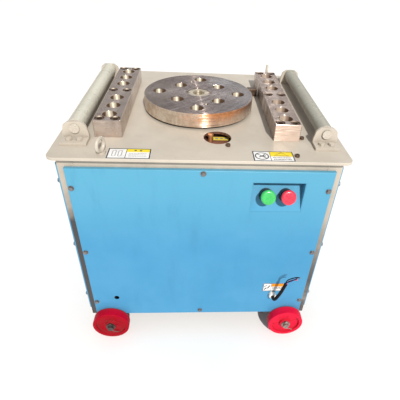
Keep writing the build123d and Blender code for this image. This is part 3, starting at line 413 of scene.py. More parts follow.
def lathed(name, colour, shade, centre, rough=0.3, rust=0.68):
    """Turned steel: rings left by the tool, stains and light rust."""
    f = Finish(name, Anisotropic=0.7)
    rings = f.turned(centre)
    tone = f.ramp(f.noise(18, 5, 0.65), 0.32, 0.68)
    base = f.mix(tone, colour, shade)
    base = f.mix(f.ramp(rings, 0.3, 0.75, 0, 0.5), base, darker(colour, 0.5))
    edge = f.edges(0.0014)
    base = f.mix(f.calc("MULTIPLY", edge, 0.5), base, (0.8, 0.76, 0.72))
    spot = f.ramp(f.noise(80, 5, 0.75, shift=(8, 2, 6)), rust, rust + 0.1)
    base = f.mix(spot, base, RUST)
    shine = f.ramp(rings, 0.25, 0.75, rough - 0.08, rough + 0.12)
    shine = f.calc("ADD", shine, f.calc("MULTIPLY", spot, 0.35), clamp=True)
    f.bump(rings, 0.00004)
    f.grain(f.circling(centre), f.turned(centre, FINE_PITCH), SOFT_SLOPE)
    metal = f.calc("SUBTRACT", 0.8, f.calc("MULTIPLY", spot, 0.6))
    return f.done(base, shine, metal)


DISC_CENTRE = (-0.012, -0.004, 0.76)
DISC_BRIGHT_SPOT = (0.068, 0.105, 0.76)
HOLES_FROM, HOLES_TO = 0.06, 0.165  # the pin holes lie between these radii
RIM_FROM = 0.1735  # beyond this radius the disc's surface is its rim


def tilted(f, degrees):
    """The object's own coordinates, turned about the vertical."""
    made = f.node("ShaderNodeVectorRotate", rotation_type="Z_AXIS")
    f.put(made.inputs["Vector"], f.place)
    made.inputs["Center"].default_value = (0, 0, 0)
    made.inputs["Angle"].default_value = math.radians(degrees)
    return made.outputs["Vector"]


def disc_steel():
    """The turned working disc: a violet-grey worn top with ring marks, scratches and painted shade, and a
    rusty rim.
    """
    f = Finish("disc_steel", Anisotropic=0.95)
    rings = f.turned(DISC_CENTRE, 700.0)
    wide = f.turned(DISC_CENTRE, 130.0, 2.5)
    scratch = f.noise(330, 4, 0.7, stretch=(0.6, 0.05, 1), where=tilted(f, 52))
    cross = f.noise(150, 4, 0.75, stretch=(1, 0.07, 1), where=tilted(f, -38))
    tone = f.ramp(f.noise(13, 5, 0.65), 0.34, 0.66)
    top = f.mix(tone, (0.50, 0.40, 0.365), (0.31, 0.25, 0.24))
    top = f.mix(f.ramp(wide, 0.35, 0.65, 0, 0.35), top, (0.28, 0.21, 0.20))
    top = f.mix(f.ramp(scratch, 0.47, 0.70, 0, 0.6), top, (0.80, 0.70, 0.66))
    top = f.mix(f.ramp(cross, 0.50, 0.70, 0, 0.65), top, (0.16, 0.115, 0.105))
    top = f.mix(f.ramp(rings, 0.5, 0.8, 0, 0.3), top, (0.25, 0.20, 0.20))
    gouge = f.noise(95, 5, 0.8, stretch=(1, 0.09, 1), where=tilted(f, 38))
    top = f.mix(f.ramp(gouge, 0.50, 0.66, 0, 0.75), top, (0.13, 0.10, 0.09))
    glint = f.noise(120, 5, 0.8, stretch=(0.9, 0.08, 1), shift=(3, 1, 0), where=tilted(f, 48))
    top = f.mix(f.ramp(glint, 0.53, 0.68, 0, 0.75), top, (0.84, 0.76, 0.73))
    uneven = f.calc("MULTIPLY", f.calc("SUBTRACT", f.noise(22, 5, 0.7, shift=(1, 4, 0)), 0.5), 0.16)
    across = f.calc("ADD", f.split()[0], uneven)
    # painted shade: the top is darker on the left and greyer on the right
    top = f.mix(f.ramp(across, -0.16, -0.03, 0.72, 0.0), top, (0.17, 0.125, 0.10))
    top = f.mix(f.ramp(across, 0.02, 0.14, 0.0, 0.5), top, (0.26, 0.27, 0.29))
    from_spot = f.calc("ADD", f.around(DISC_BRIGHT_SPOT)[0], uneven)
    streaky = f.ramp(f.noise(420, 3, 0.7, stretch=(0.12, 1, 1)), 0.38, 0.6)
    polished = f.calc("MULTIPLY", f.ramp(from_spot, 0.02, 0.075, 0.85, 0.0), streaky)
    top = f.mix(polished, top, (0.80, 0.78, 0.78))
    top = f.mix(f.ramp(streaky, 0.0, 1.0, 0.35, 0.0), top, (0.15, 0.115, 0.105))
    r, h, c, s = f.around(DISC_CENTRE)
    rim = f.calc("GREATER_THAN", r, RIM_FROM)
    side = f.ramp(c, -0.5, 0.1, 0.1, 1.0)
    high = f.ramp(h, -0.03, 0.012, 0.35, 1.0)
    patch = f.ramp(f.noise(20, 5, 0.7, stretch=(1, 1, 1.6)), 0.30, 0.5)
    rust = f.calc("MULTIPLY", f.calc("MULTIPLY", side, high), f.calc("MULTIPLY", patch, rim))
    clouds = f.ramp(f.noise(60, 4, 0.6, stretch=(1, 1, 0.5)), 0.35, 0.65)
    flank = f.mix(clouds, (0.92, 0.83, 0.70), (0.70, 0.57, 0.44))
    brown = f.mix(f.ramp(f.noise(150, 4, 0.7), 0.35, 0.65), (0.60, 0.21, 0.045), (0.36, 0.12, 0.03))
    brown = f.mix(f.ramp(c, 0.5, 0.9), brown, (0.17, 0.075, 0.04))
    flank = f.mix(f.calc("MULTIPLY", rust, 0.92), flank, brown)
    base = f.mix(rim, top, flank)
    holes = f.calc("MULTIPLY", f.calc("LESS_THAN", r, HOLES_TO), f.calc("GREATER_THAN", r, HOLES_FROM))
    wall, wall_colour_and_highlight = bored(f, holes)
    base = f.mix(wall, base, wall_colour_and_highlight)
    edge = f.calc("MULTIPLY", f.edges(0.0016), f.calc("GREATER_THAN", r, HOLES_TO))
    base = f.mix(f.calc("MULTIPLY", edge, 0.45), base, (0.88, 0.79, 0.71))
    shine = f.ramp(rings, 0.25, 0.75, 0.20, 0.28)
    shine = f.calc("ADD", shine, f.calc("MULTIPLY", rim, 0.05), clamp=True)
    shine = f.calc("ADD", shine, f.calc("MULTIPLY", rust, 0.10), clamp=True)
    shine = f.calc("ADD", shine, f.calc("MULTIPLY", wall, 0.3), clamp=True)
    f.bump(wide, 0.00006)
    f.bump(scratch, 0.00003)
    f.bump(cross, 0.00003)
    slope = f.calc("MULTIPLY", f.calc("SUBTRACT", 1.0, wall), GRAIN_SLOPE)
    slope = f.calc("MULTIPLY", slope, 1.3)
    f.grain(f.circling(DISC_CENTRE), f.turned(DISC_CENTRE, FINE_PITCH), slope)
    metal = f.calc("SUBTRACT", 0.84, f.calc("MULTIPLY", f.calc("MAXIMUM", rust, wall), 0.45))
    return f.done(base, shine, metal)


def cast(name, colour, shade, rough=0.45, oil=0.5, metallic=0.0):
    """Sand-cast or rough-forged metal with a skin of oil and dust, and painted shade in its corners."""
    f = Finish(name, metallic=metallic, Coat_Weight=oil, Coat_Roughness=0.22)
    base = f.mix(f.ramp(f.noise(20, 5, 0.65), 0.3, 0.7), colour, shade)
    base = f.mix(f.ramp(f.noise(130, 4, 0.7), 0.5, 0.75, 0, 0.5), base, darker(colour, 0.5))
    # painted shade: the corners are darkened almost to black
    base = f.mix(f.calc("MULTIPLY", f.corners(0.02), 0.6), base, (0.04, 0.03, 0.02))
    f.bump(f.noise(480, 3, 0.6), 0.00022)
    f.bump(f.cells(300), 0.00012)
    return f.done(base, f.ramp(f.noise(45, 4, 0.6), 0.3, 0.7, rough - 0.1, rough + 0.15))


def plain_metal(name, colour, shade, rough=0.32, rust=0.64, metallic=1.0, left_shade=None):
    """Small fasteners and pins: plated or bare, dulled, with rust starting in the corners."""
    f = Finish(name, metallic=metallic)
    base = f.mix(f.ramp(f.noise(160, 4, 0.6), 0.35, 0.65), colour, shade)
    rusty = f.ramp(f.noise(330, 4, 0.7), rust, rust + 0.08)
    rusty = f.calc("MAXIMUM", rusty, f.calc("MULTIPLY", f.corners(0.004), 0.45))
    base = f.mix(rusty, base, RUST)
    # painted shade: darker on the left side of the machine
    if left_shade is not None:
        base = f.mix(f.ramp(f.split()[0], -0.1, 0.1, 0.85, 0.0), base, left_shade)
    f.bump(f.noise(900, 3, 0.6), 0.00004)
    shine = f.ramp(f.noise(240, 3), 0.3, 0.7, rough - 0.08, rough + 0.12)
    shine = f.calc("ADD", shine, f.calc("MULTIPLY", rusty, 0.3), clamp=True)
    metal = f.calc("SUBTRACT", metallic, f.calc("MULTIPLY", rusty, 0.7 * metallic), clamp=True)
    return f.done(base, shine, metal)


def moulded(name, colour, rough=0.35, grain=0.00004, coat=0.0, corner_dirt_and_shade=0.35, specular=0.5):
    """Moulded plastic or rubber: fine grain, faint flow marks, dust and painted shade in the corners."""
    f = Finish(name, Coat_Weight=coat, Coat_Roughness=0.08, Specular_IOR_Level=specular)
    base = f.mix(f.ramp(f.noise(60, 4, 0.6), 0.3, 0.7), colour, darker(colour, 0.86))
    # dust and painted shade: the corners are darkened
    base = f.mix(f.calc("MULTIPLY", f.corners(0.006), corner_dirt_and_shade), base, (0.12, 0.10, 0.08))
    base = f.mix(f.ramp(f.noise(900, 2), 0.66, 0.78, 0, 0.2), base, (0.45, 0.42, 0.38))
    f.bump(f.noise(1800, 2, 0.5), grain)
    return f.done(base, f.ramp(f.noise(130, 3), 0.3, 0.7, rough - 0.05, rough + 0.09))


WINDOW_CUT = ((0.041, -0.225, 0.7255), 0.046)  # the burnt wall of the opening in the table
FINISHES = {
    "cream_paint": painted("cream_paint", CREAM, CREAM_SHADE, 0.36),
    "blue_paint": painted(
        "blue_paint",
        (0.062, 0.278, 0.478),
        (0.046, 0.248, 0.445),
        gloss=0.36,
        chips=0.66,
        grime_and_shade=0.45,
        specular=0.3,
        colour_high_up=(0.085, 0.32, 0.49),
    ),
    "red_paint": painted(
        "red_paint",
        (0.74, 0.006, 0.045),
        (0.62, 0.005, 0.035),
        gloss=0.45,
        chips=0.7,
        grime_and_shade=0.4,
        specular=0.08,
        face=(0.62, 0.008, 0.04),
    ),
    "disc_steel": disc_steel(),
    "machined_steel": ground("machined_steel", (0.84, 0.71, 0.62), (0.66, 0.545, 0.475)),
    "turned_steel": lathed("turned_steel", (0.82, 0.73, 0.58), (0.66, 0.57, 0.43), DISC_CENTRE, rough=0.4),
    "dark_steel": plain_metal("dark_steel", (0.17, 0.115, 0.08), (0.09, 0.06, 0.045), 0.4, 0.6, 0.7),
    "plated_steel": plain_metal("plated_steel", (0.25, 0.245, 0.25), (0.15, 0.145, 0.15), 0.36, 0.70, 0.7),
    "cast_iron": cast("cast_iron", (0.14, 0.06, 0.03), (0.06, 0.028, 0.016)),
    "bronze": plain_metal("bronze", (0.72, 0.45, 0.16), (0.55, 0.32, 0.11), 0.3, 0.9),
    "plug_brass": plain_metal("plug_brass", (0.78, 0.40, 0.20), (0.60, 0.28, 0.12), 0.36, 0.8, 0.75),
    "tag_yellow": moulded("tag_yellow", (0.85, 0.68, 0.06), 0.3),
    "motor_aluminium": cast("motor_aluminium", (0.30, 0.33, 0.35), (0.22, 0.245, 0.26), 0.45, 0.0, 0.6),
    "grey_paint": painted("grey_paint", (0.22, 0.25, 0.27), (0.18, 0.205, 0.22), 0.4),
    "green_plastic": moulded("green_plastic", (0.05, 0.50, 0.12), 0.28, coat=0.3),
    "red_plastic": moulded("red_plastic", (0.78, 0.035, 0.07), 0.28, coat=0.3),
    "black_plastic": moulded("black_plastic", (0.012, 0.012, 0.02), 0.4, corner_dirt_and_shade=0.1, specular=0.2),
    "white_plastic": moulded("white_plastic", (0.80, 0.80, 0.77), 0.4),
    "black_rubber": moulded("black_rubber", (0.006, 0.006, 0.008), 0.42, 0.00005, corner_dirt_and_shade=0.05, specular=0.1),
    "red_core": moulded("red_core", (0.62, 0.012, 0.10), 0.35, corner_dirt_and_shade=0.1, specular=0.2),
    "blue_core": moulded("blue_core", (0.010, 0.022, 0.10), 0.35, corner_dirt_and_shade=0.1, specular=0.2),
    "label_white": moulded("label_white", (0.84, 0.84, 0.83), 0.25, 0.00001, 0.3),
}
# the frame's paint, darker low down and with painted shade on its left side
OLD_PAINT = painted("cream_paint_soil_and_shade", (0.52, 0.455, 0.38), (0.43, 0.375, 0.31), 0.4, soil_and_shade=2.8)
# painted light and shade: the right roller takes a darker, the left roller a lighter copy of one roller
# paint
SATIN_PAINT = painted(
    "cream_paint_rollers", (0.42, 0.41, 0.34), (0.36, 0.35, 0.29), 0.3, specular=0.9, rubbed=0.9
)
# the lighter copy, painted light, for the left roller
PALE_PAINT = painted(
    "cream_paint_left_roller", (0.66, 0.64, 0.54), (0.58, 0.56, 0.47), 0.3, specular=0.7, rubbed=0.9
)
TABLE_PAINT = painted("cream_paint_table", CREAM, CREAM_SHADE, 0.36, grime_and_shade=0.3, cut=WINDOW_CUT)
# painted shade: the left wheels take a darker copy of the red paint
SHADED_RED = painted(
    "red_paint_shaded",
    (0.46, 0.002, 0.022),
    (0.36, 0.002, 0.015),
    gloss=0.5,
    chips=0.7,
    specular=0.06,
    face=(0.30, 0.001, 0.010),
)
PRIMER = cast("oily_primer", (0.24, 0.10, 0.06), (0.12, 0.045, 0.028))
# with painted shade on the left side of the machine
DULL_STEEL = plain_metal(
    "dull_steel", (0.40, 0.34, 0.30), (0.20, 0.165, 0.15), 0.4, 0.66, 0.7, left_shade=(0.05, 0.04, 0.04)
)
KEY_STEEL = plain_metal("key_steel", (0.22, 0.18, 0.16), (0.14, 0.11, 0.10), 0.55, 0.7, 0.5)
FRESH_BLUE = painted(
    "blue_paint_front",
    (0.058, 0.262, 0.465),
    (0.046, 0.242, 0.44),
    gloss=0.36,
    chips=0.66,
    grime_and_shade=0.45,
    specular=0.3,
    colour_high_up=(0.092, 0.335, 0.49),
)
VARIANTS = {
    "corner_posts": OLD_PAINT,
    "top_rails": OLD_PAINT,
    "bottom_rails": OLD_PAINT,
    "axle_brackets": OLD_PAINT,
    "motor_mount": OLD_PAINT,
    "left_roller": PALE_PAINT,
    "right_roller": SATIN_PAINT,
    "table_top": TABLE_PAINT,
    "front_left_wheel": SHADED_RED,
    "rear_left_wheel": SHADED_RED,
    "gearbox_cover": PRIMER,
    "gearbox_housing": PRIMER,
    "wheel_axles": DULL_STEEL,
    "wheel_washers": DULL_STEEL,
    "split_pins": DULL_STEEL,
    "disc_keys": KEY_STEEL,
    "front_panel": FRESH_BLUE,
}


def finish_nodes():
    """Every CAD node takes its own variant, or else the finish of its slot in the record."""
    for part in frame["record"]["subparts"]:
        node = frame["nodes"][part["node"]]
        material = VARIANTS.get(part["node"], FINISHES[part["material_slot"]])
        if not node.material_slots:
            node.data.materials.append(material)
        for slot in node.material_slots:
            slot.link = "OBJECT"
            slot.material = material


finish_nodes()


# ---------------------------------------------------------------- softer edges on the CAD nodes
def shading_group(degrees):
    """Geometry nodes that shade smooth across shallow edges only."""
    group = bpy.data.node_groups.new("shade_by_angle", "GeometryNodeTree")
    group.interface.new_socket("Geometry", in_out="INPUT", socket_type="NodeSocketGeometry")
    group.interface.new_socket("Geometry", in_out="OUTPUT", socket_type="NodeSocketGeometry")
    add, join = group.nodes.new, group.links.new
    start, end = add("NodeGroupInput"), add("NodeGroupOutput")
    forget = add("GeometryNodeRemoveAttribute")
    forget.inputs["Name"].default_value = "custom_normal"
    faces = add("GeometryNodeSetShadeSmooth")
    faces.domain = "FACE"
    angle, sharp = add("GeometryNodeInputMeshEdgeAngle"), add("FunctionNodeCompare")
    sharp.operation = "GREATER_THAN"
    sharp.inputs[1].default_value = math.radians(degrees)
    edges = add("GeometryNodeSetShadeSmooth")
    edges.domain = "EDGE"
    edges.inputs["Shade Smooth"].default_value = False
    join(start.outputs[0], forget.inputs["Geometry"])
    join(forget.outputs[0], faces.inputs["Geometry"])
    join(faces.outputs[0], edges.inputs["Geometry"])
    join(angle.outputs["Unsigned Angle"], sharp.inputs[0])
    join(sharp.outputs[0], edges.inputs["Selection"])
    join(edges.outputs[0], end.inputs[0])
    return group


SHADE = shading_group(38)


def soften(name, width):
    """Welds a node's faces, rounds its sharp edges by width millimetres and shades it evenly."""
    node = frame["nodes"][name]
    weld = node.modifiers.new("weld", "WELD")
    weld.merge_threshold = 0.00001
    if width:
        flat = node.modifiers.new("flat", "DECIMATE")
        flat.decimate_type = "DISSOLVE"
        flat.angle_limit = math.radians(0.4)
        bevel = node.modifiers.new("round", "BEVEL")
        bevel.width = width * MM
        bevel.segments = 2
        bevel.limit_method = "ANGLE"
        bevel.angle_limit = math.radians(40)
        bevel.use_clamp_overlap = True
    shade = node.modifiers.new("shade", "NODES")
    shade.node_group = SHADE
    even = node.modifiers.new("even", "WEIGHTED_NORMAL")
    even.keep_sharp = True


ROUNDING = {
    "table_top": 1.2,
    "corner_posts": 2.0,
    "top_rails": 2.0,
    "bottom_rails": 2.0,
    "roller_brackets": 0.8,
    "axle_brackets": 0.8,
    "front_panel": 0.8,
    "rear_panel": 0.8,
    "left_panel": 0.8,
    "right_panel": 0.8,
    "stop_block": 0.5,
    "left_roller": 0.6,
    "right_roller": 0.6,
    "gearbox_housing": 2.0,
    "gearbox_cover": 1.5,
    "control_box": 1.5,
    "motor_mount": 1.0,
    "button_pocket": 0.5,
}
for node_name in frame["nodes"]:
    soften(node_name, ROUNDING.get(node_name, 0))


# ---------------------------------------------------------------- mesh pieces
def piece(name, bm, material, body="base", smooth=True):
    """A finished bmesh becomes a piece that rides on a body."""
    mesh = bpy.data.meshes.new(name)
    bm.to_mesh(mesh)
    bm.free()
    mesh.polygons.foreach_set("use_smooth", [smooth] * len(mesh.polygons))
    mesh.materials.append(material)
    made = bpy.data.objects.new(name, mesh)
    scene.collection.objects.link(made)
    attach(made, body)
    return made


def block(bm, place, x0, y0, x1, y1, thick, lift=0.0):
    """A thin plate on a label: place turns label millimetres into metres."""
    low = [bm.verts.new(place(x, y, lift)) for x, y in ((x0, y0), (x1, y0), (x1, y1), (x0, y1))]
    high = [bm.verts.new(place(x, y, lift + thick)) for x, y in ((x0, y0), (x1, y0), (x1, y1), (x0, y1))]
    bm.faces.new(high)
    bm.faces.new(low[::-1])
    for i in range(4):
        j = (i + 1) % 4
        bm.faces.new((low[i], low[j], high[j], high[i]))


def strip(bm, place, points, width, thick, closed=False):
    """A printed line of even width through points on a label."""
    count = len(points)
    rows = []
    for i, (x, y) in enumerate(points):
        before = points[i - 1] if (i or closed) else points[i]
        after = points[(i + 1) % count] if (i < count - 1 or closed) else points[i]
        along = Vector((after[0] - before[0], after[1] - before[1])).normalized()
        side = Vector((-along.y, along.x)) * width / 2
        rows.append(
            [
                bm.verts.new(place(x + side.x * k, y + side.y * k, h))
                for k, h in ((1, 0), (1, thick), (-1, thick), (-1, 0))
            ]
        )
    spans = count if closed else count - 1
    for i in range(spans):
        a, b = rows[i], rows[(i + 1) % count]
        for k in range(4):
            bm.faces.new((a[k], b[k], b[(k + 1) % 4], a[(k + 1) % 4]))
    if not closed:
        bm.faces.new(rows[0])
        bm.faces.new(rows[-1][::-1])


def ring_of_points(cx, cy, radius, count):
    """Points evenly round a circle, from its right-hand side on."""
    turns = [math.radians(360 / count * i) for i in range(count)]
    return [(cx + radius * math.cos(turn), cy + radius * math.sin(turn)) for turn in turns]


INK = moulded("label_ink", (0.02, 0.02, 0.022), 0.35, 0.00001)
GREY_INK = moulded("label_grey", (0.34, 0.34, 0.35), 0.35, 0.00001)
YELLOW = moulded("label_yellow", (0.86, 0.66, 0.03), 0.4, 0.00001, specular=0.2)
ORANGE = moulded("label_orange", (0.78, 0.27, 0.008), 0.4, 0.00001, specular=0.2)
INK_THICK = 0.06
TABLE_LABEL_Z, TAG_Z = 726.3, 704.6  # upper faces of the label sheets and of the yellow tag
PANEL_LABEL_Y = -350.3  # front face of the panel label


def lying(cx, cy, z):
    """Label millimetres on a label that lies flat, with its upper face at height z."""
    return lambda x, y, h: Vector((cx + x, cy + y, z + h)) * MM


def standing(cx, y_face, cz):
    """Label millimetres on a label that stands, with its front face at y_face."""
    return lambda x, y, h: Vector((cx + x, y_face - h, cz + y)) * MM


def border(bm, place, half_w, half_h, line):
    """A frame of even width round a label's middle."""
    block(bm, place, -half_w, half_h - line, half_w, half_h, INK_THICK)
    block(bm, place, -half_w, -half_h, half_w, -half_h + line, INK_THICK)
    block(bm, place, -half_w, -half_h + line, -half_w + line, half_h - line, INK_THICK)
    block(bm, place, half_w - line, -half_h + line, half_w, half_h - line, INK_THICK)


def rows_of_bars(bm, place, x0, x1, heights, tall, seed):
    """Uneven short bars that stand for print too small to read."""
    chance = random.Random(seed)
    for y in heights:
        x = x0
        while x < x1 - 2:
            long = chance.uniform(2.2, 5.5)
            block(bm, place, x, y, min(x + long, x1), y + tall, INK_THICK)
            x += long + chance.uniform(0.9, 1.8)


def print_labels():
    """Borders, headers, pictograms and bars on the two table labels, the panel label and the tag."""
    left, right = lying(-194.5, -328.5, TABLE_LABEL_Z), lying(187, -328.5, TABLE_LABEL_Z)
    low, tag = standing(253.5, PANEL_LABEL_Y, 226.5), lying(54, -188, TAG_Z)
    ink, grey, yellow, orange = (bmesh.new() for _ in range(4))
    for place in (left, right):
        border(ink, place, 55.8, 26.8, 3.4)
    block(ink, left, -8.5, -24, -7, 24, INK_THICK)
    block(yellow, left, -7, 8, 53, 24, INK_THICK)
    for x in (12, 26):
        block(ink, left, x, 13, x + 6, 18.5, INK_THICK, INK_THICK)
    rows_of_bars(grey, left, 0, 46, (-1, -8, -15), 2.6, 5)
    for x in (-44, -35.5, -28.5, -20):
        block(grey, left, x, -12, x + 2.2, 13, INK_THICK)
    for x0, x1 in ((-44, -35.5), (-28.5, -20)):
        strip(grey, left, [(x0, 13), ((x0 + x1) / 2 + 1, 16), (x1 + 2.2, 13)], 1.8, INK_THICK)
        strip(grey, left, [(x0, -12), ((x0 + x1) / 2 + 1, -15), (x1 + 2.2, -12)], 1.8, INK_THICK)
    block(ink, right, -9.5, -24, -8, 24, INK_THICK)
    strip(ink, right, ring_of_points(-31.5, 0, 17.5, 40), 3.2, INK_THICK, True)
    strip(ink, right, [(-43.5, 12), (-19.5, -12)], 3.0, INK_THICK)
    strip(ink, right, [(-40, -6), (-33, -1), (-27, 3), (-23, 9)], 3.6, INK_THICK)
    strip(ink, right, [(-30, -2), (-24, -2), (-21, 3)], 2.4, INK_THICK)
    block(yellow, right, -8, -1, 53, 24, INK_THICK)
    strip(ink, right, [(2, 2.5), (43, 2.5), (23, 20)], 3.0, INK_THICK * 2, True)
    rows_of_bars(ink, right, -2, 47, (-9, -18), 3.2, 9)
    block(orange, low, -9.5, 3, 36, 17, INK_THICK)
    rows_of_bars(ink, low, -5, 33, (-3, -10), 3.4, 3)
    border(ink, low, 38.2, 19.2, 2.2)
    block(ink, low, -11, -18, -10, 18, INK_THICK)
    strip(ink, low, [(-33, -12), (-27, -3), (-22, -5), (-15, 9)], 4.5, INK_THICK)
    strip(ink, low, [(-34, 2), (-28, 9), (-23, 7)], 3.0, INK_THICK)
    for x in (-17, -3, 11):
        block(grey, tag, x, -4.5, x + 8.5, 4.5, INK_THICK)
    for name, mesh, material in (
        ("label_print_black", ink, INK),
        ("label_print_grey", grey, GREY_INK),
        ("label_header_yellow", yellow, YELLOW),
        ("label_header_orange", orange, ORANGE),
    ):
        bmesh.ops.recalc_face_normals(mesh, faces=mesh.faces)
        piece(name, mesh, material, smooth=False)


print_labels()


FRAME_X, FRAME_Y = 382.0, 338.0  # outer faces of the posts
POST_WIDTH = 40.0
BEAD_BOTTOM, BEAD_TOP = 672.0, 715.0
BEAD_HALF_WIDTH, BEAD_HEIGHT = 2.6, 1.1
BEAD_STEPS = 45  # three to a ripple
BEAD_POINTS = 9


def skin(bm, rings):
    """Faces between neighbouring closed rings of points, and a cap on each end."""
    for a, b in zip(rings, rings[1:]):
        for k in range(len(a)):
            after = (k + 1) % len(a)
            bm.faces.new((a[k], a[after], b[after], b[k]))
    bm.faces.new(rings[0][::-1])
    bm.faces.new(rings[-1])


def weld_beads():
    """Rippled weld beads on the frame's outer faces, where each top rail meets a post."""
    bm = bmesh.new()
    chance = random.Random(17)
    corners = [(sx, sy) for sx in (-1, 1) for sy in (-1, 1)]
    seams = [(sx * (FRAME_X - POST_WIDTH), sy * FRAME_Y, 0, sy) for sx, sy in corners]
    seams += [(sx * FRAME_X, sy * (FRAME_Y - POST_WIDTH), sx, 0) for sx, sy in corners]
    for x, y, out_x, out_y in seams:
        rings = []
        for i in range(BEAD_STEPS + 1):
            z = BEAD_BOTTOM + (BEAD_TOP - BEAD_BOTTOM) * i / BEAD_STEPS
            swell = 1.0 if i % 3 == 1 else 0.78 + 0.1 * chance.random()
            swell *= min(1.0, i / 2.0, (BEAD_STEPS - i) / 2.0) * 0.85 + 0.15
            ring = []
            for k in range(BEAD_POINTS):
                turn = math.pi * k / (BEAD_POINTS - 1)
                side = BEAD_HALF_WIDTH * swell * math.cos(turn)
                up = BEAD_HEIGHT * swell * math.sin(turn)
                point = Vector((x + out_x * up + out_y * side, y + out_y * up + out_x * side, z))
                ring.append(bm.verts.new(point * MM))
            rings.append(ring)
        skin(bm, rings)
    bmesh.ops.recalc_face_normals(bm, faces=bm.faces)
    piece("frame_weld_beads", bm, OLD_PAINT)


weld_beads()


# ---------------------------------------------------------------- cords
def cord_curve(name, route_mm, radius_mm, material):
    """A smooth round cord along a route given in millimetres."""
    data = bpy.data.curves.new(name, "CURVE")
    data.dimensions = "3D"
    data.bevel_depth = radius_mm * MM
    data.bevel_resolution = 6
    data.resolution_u = 16
    data.use_fill_caps = True
    line = data.splines.new("NURBS")
    line.points.add(len(route_mm) - 1)
    for point, (x, y, z) in zip(line.points, route_mm):
        point.co = (x * MM, y * MM, z * MM, 1)
    line.order_u = 3
    line.use_endpoint_u = True
    data.materials.append(material)
    made = bpy.data.objects.new(name, data)
    scene.collection.objects.link(made)
    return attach(made, "base")


SHEATH = [  # routes in millimetres, from the panel outwards
    (250.5, -357, 194.5),
    (250.5, -368, 194.5),
    (251.3, -379.5, 197.8),
    (253.8, -386.2, 207.2),
    (258.5, -388.5, 220),
    (264.6, -390.3, 238.5),
    (270.6, -392.8, 263.5),
    (275.7, -396, 294.6),
]
CORES = {
    "core_red": [
        (277.97, -396, 294.23),
        (279.74, -397.11, 305.03),
        (284.6, -404, 318.5),
        (292, -408.5, 328),
        (302.5, -412, 331.5),
    ],
    "core_blue": [
        (274.54, -397.98, 294.59),
        (276.31, -399.09, 305.39),
        (281.6, -409.5, 320),
        (290, -414.5, 333),
        (299.5, -418, 344.5),
    ],
    "core_black": [
        (274.59, -394.02, 294.98),
        (276.37, -395.13, 305.78),
        (277, -400, 317),
        (283.5, -405, 328.5),
        (291.5, -411, 339.5),
        (299.5, -417, 349),
        (305.5, -421, 350.5),
    ],
}
CORE_FINISH = {"core_red": "red_core", "core_blue": "blue_core", "core_black": "black_rubber"}
COPPER = plain_metal("copper", (0.85, 0.42, 0.20), (0.70, 0.30, 0.12), 0.25, 0.9)
SHEATH_RADIUS, CORE_RADIUS, STRAND_RADIUS = 5.6, 1.7, 0.27
STRANDS_OUT, STRANDS_IN = 3.2, 0.6  # how far the bare wires reach out of the core and back into it


def strands(name, route):
    """Seven copper wires that stand out of a core's end, slightly fanned."""
    end, back = Vector(route[-1]), Vector(route[-2])
    along = (end - back).normalized()
    side = along.orthogonal().normalized()
    other = along.cross(side)
    turns = [2 * math.pi * i / 8 for i in range(8)]
    spokes = [side * math.cos(turn) + other * math.sin(turn) for turn in turns]
    bm = bmesh.new()
    chance = random.Random(name)
    for k in range(7):
        fan = 2 * math.pi * k / 6
        out = Vector() if k == 6 else side * math.cos(fan) + other * math.sin(fan)
        tip = STRANDS_OUT + chance.uniform(-0.5, 0.6)
        rings = []
        for t in (0.0, 0.35, 0.7, 1.0):
            centre = end + along * (tip * t - STRANDS_IN) + out * (0.55 + 0.35 * t)
            rings.append([bm.verts.new((centre + spoke * STRAND_RADIUS) * MM) for spoke in spokes])
        skin(bm, rings)
    return piece(name, bm, COPPER)


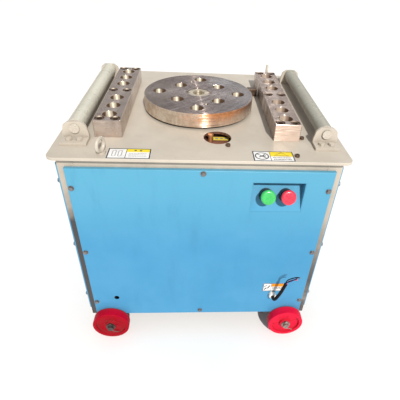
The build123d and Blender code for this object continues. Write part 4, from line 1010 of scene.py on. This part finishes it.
def lay_cords():
    """The black sheath and the three cores with their bare ends, drawn as curves in place of the hidden
    CAD nodes.
    """
    sheath = cord_curve("supply_cable", SHEATH, SHEATH_RADIUS, FINISHES["black_rubber"])
    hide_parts("cable_sheath")
    for node, route in CORES.items():
        wire = cord_curve(node + "_wire", route, CORE_RADIUS, FINISHES[CORE_FINISH[node]])
        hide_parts(node)
        tip = strands(node + "_copper", route)


lay_cords()


# ---------------------------------------------------------------- floor and light
def make_floor():
    """A pale matt floor, for the picture only."""
    bm = bmesh.new()
    bmesh.ops.create_grid(bm, x_segments=1, y_segments=1, size=30)
    mesh = bpy.data.meshes.new("floor")
    bm.to_mesh(mesh)
    bm.free()
    f = Finish("floor_paint")
    tone = f.mix(f.ramp(f.noise(2.0, 3), 0.3, 0.7), (0.86, 0.86, 0.86), (0.83, 0.83, 0.835))
    mesh.materials.append(f.done(tone, f.ramp(f.noise(5), 0.3, 0.7, 0.75, 0.85)))
    floor = bpy.data.objects.new("floor", mesh)
    scene.collection.objects.link(floor)


TOWARDS_SUN = Vector((0.28, -1.12, 1.0)).normalized()
BOX_AT = (0.2, 2.6, 2.0)
BOX_BACK = Vector((0.2, 2.6, 1.1))  # the soft box shines the other way, down onto the machine


def make_light():
    """A key light from the front, high and a little right, a soft box behind, an even pale surround."""
    sun = bpy.data.lights.new("key", "SUN")
    sun.energy, sun.angle, sun.color = 4.1, math.radians(1.5), (1.0, 0.965, 0.91)
    key = bpy.data.objects.new("key", sun)
    key.rotation_mode = "QUATERNION"
    key.rotation_quaternion = TOWARDS_SUN.to_track_quat("Z", "Y")
    scene.collection.objects.link(key)
    soft = bpy.data.lights.new("soft_box", "AREA")
    soft.shape, soft.size, soft.size_y = "RECTANGLE", 3.4, 1.5
    soft.energy, soft.color = 8.0, (1.0, 0.97, 0.94)
    box = bpy.data.objects.new("soft_box", soft)
    box.location = BOX_AT
    box.rotation_mode = "QUATERNION"
    box.rotation_quaternion = BOX_BACK.to_track_quat("Z", "Y")
    box.visible_camera = False
    scene.collection.objects.link(box)
    world = bpy.data.worlds.new("surround")
    world.use_nodes = True
    back = world.node_tree.nodes["Background"]
    back.inputs["Color"].default_value = (0.95, 0.97, 1.0, 1)
    back.inputs["Strength"].default_value = 0.45
    scene.world = world


make_floor()
make_light()
scene.view_settings.view_transform = "Standard"
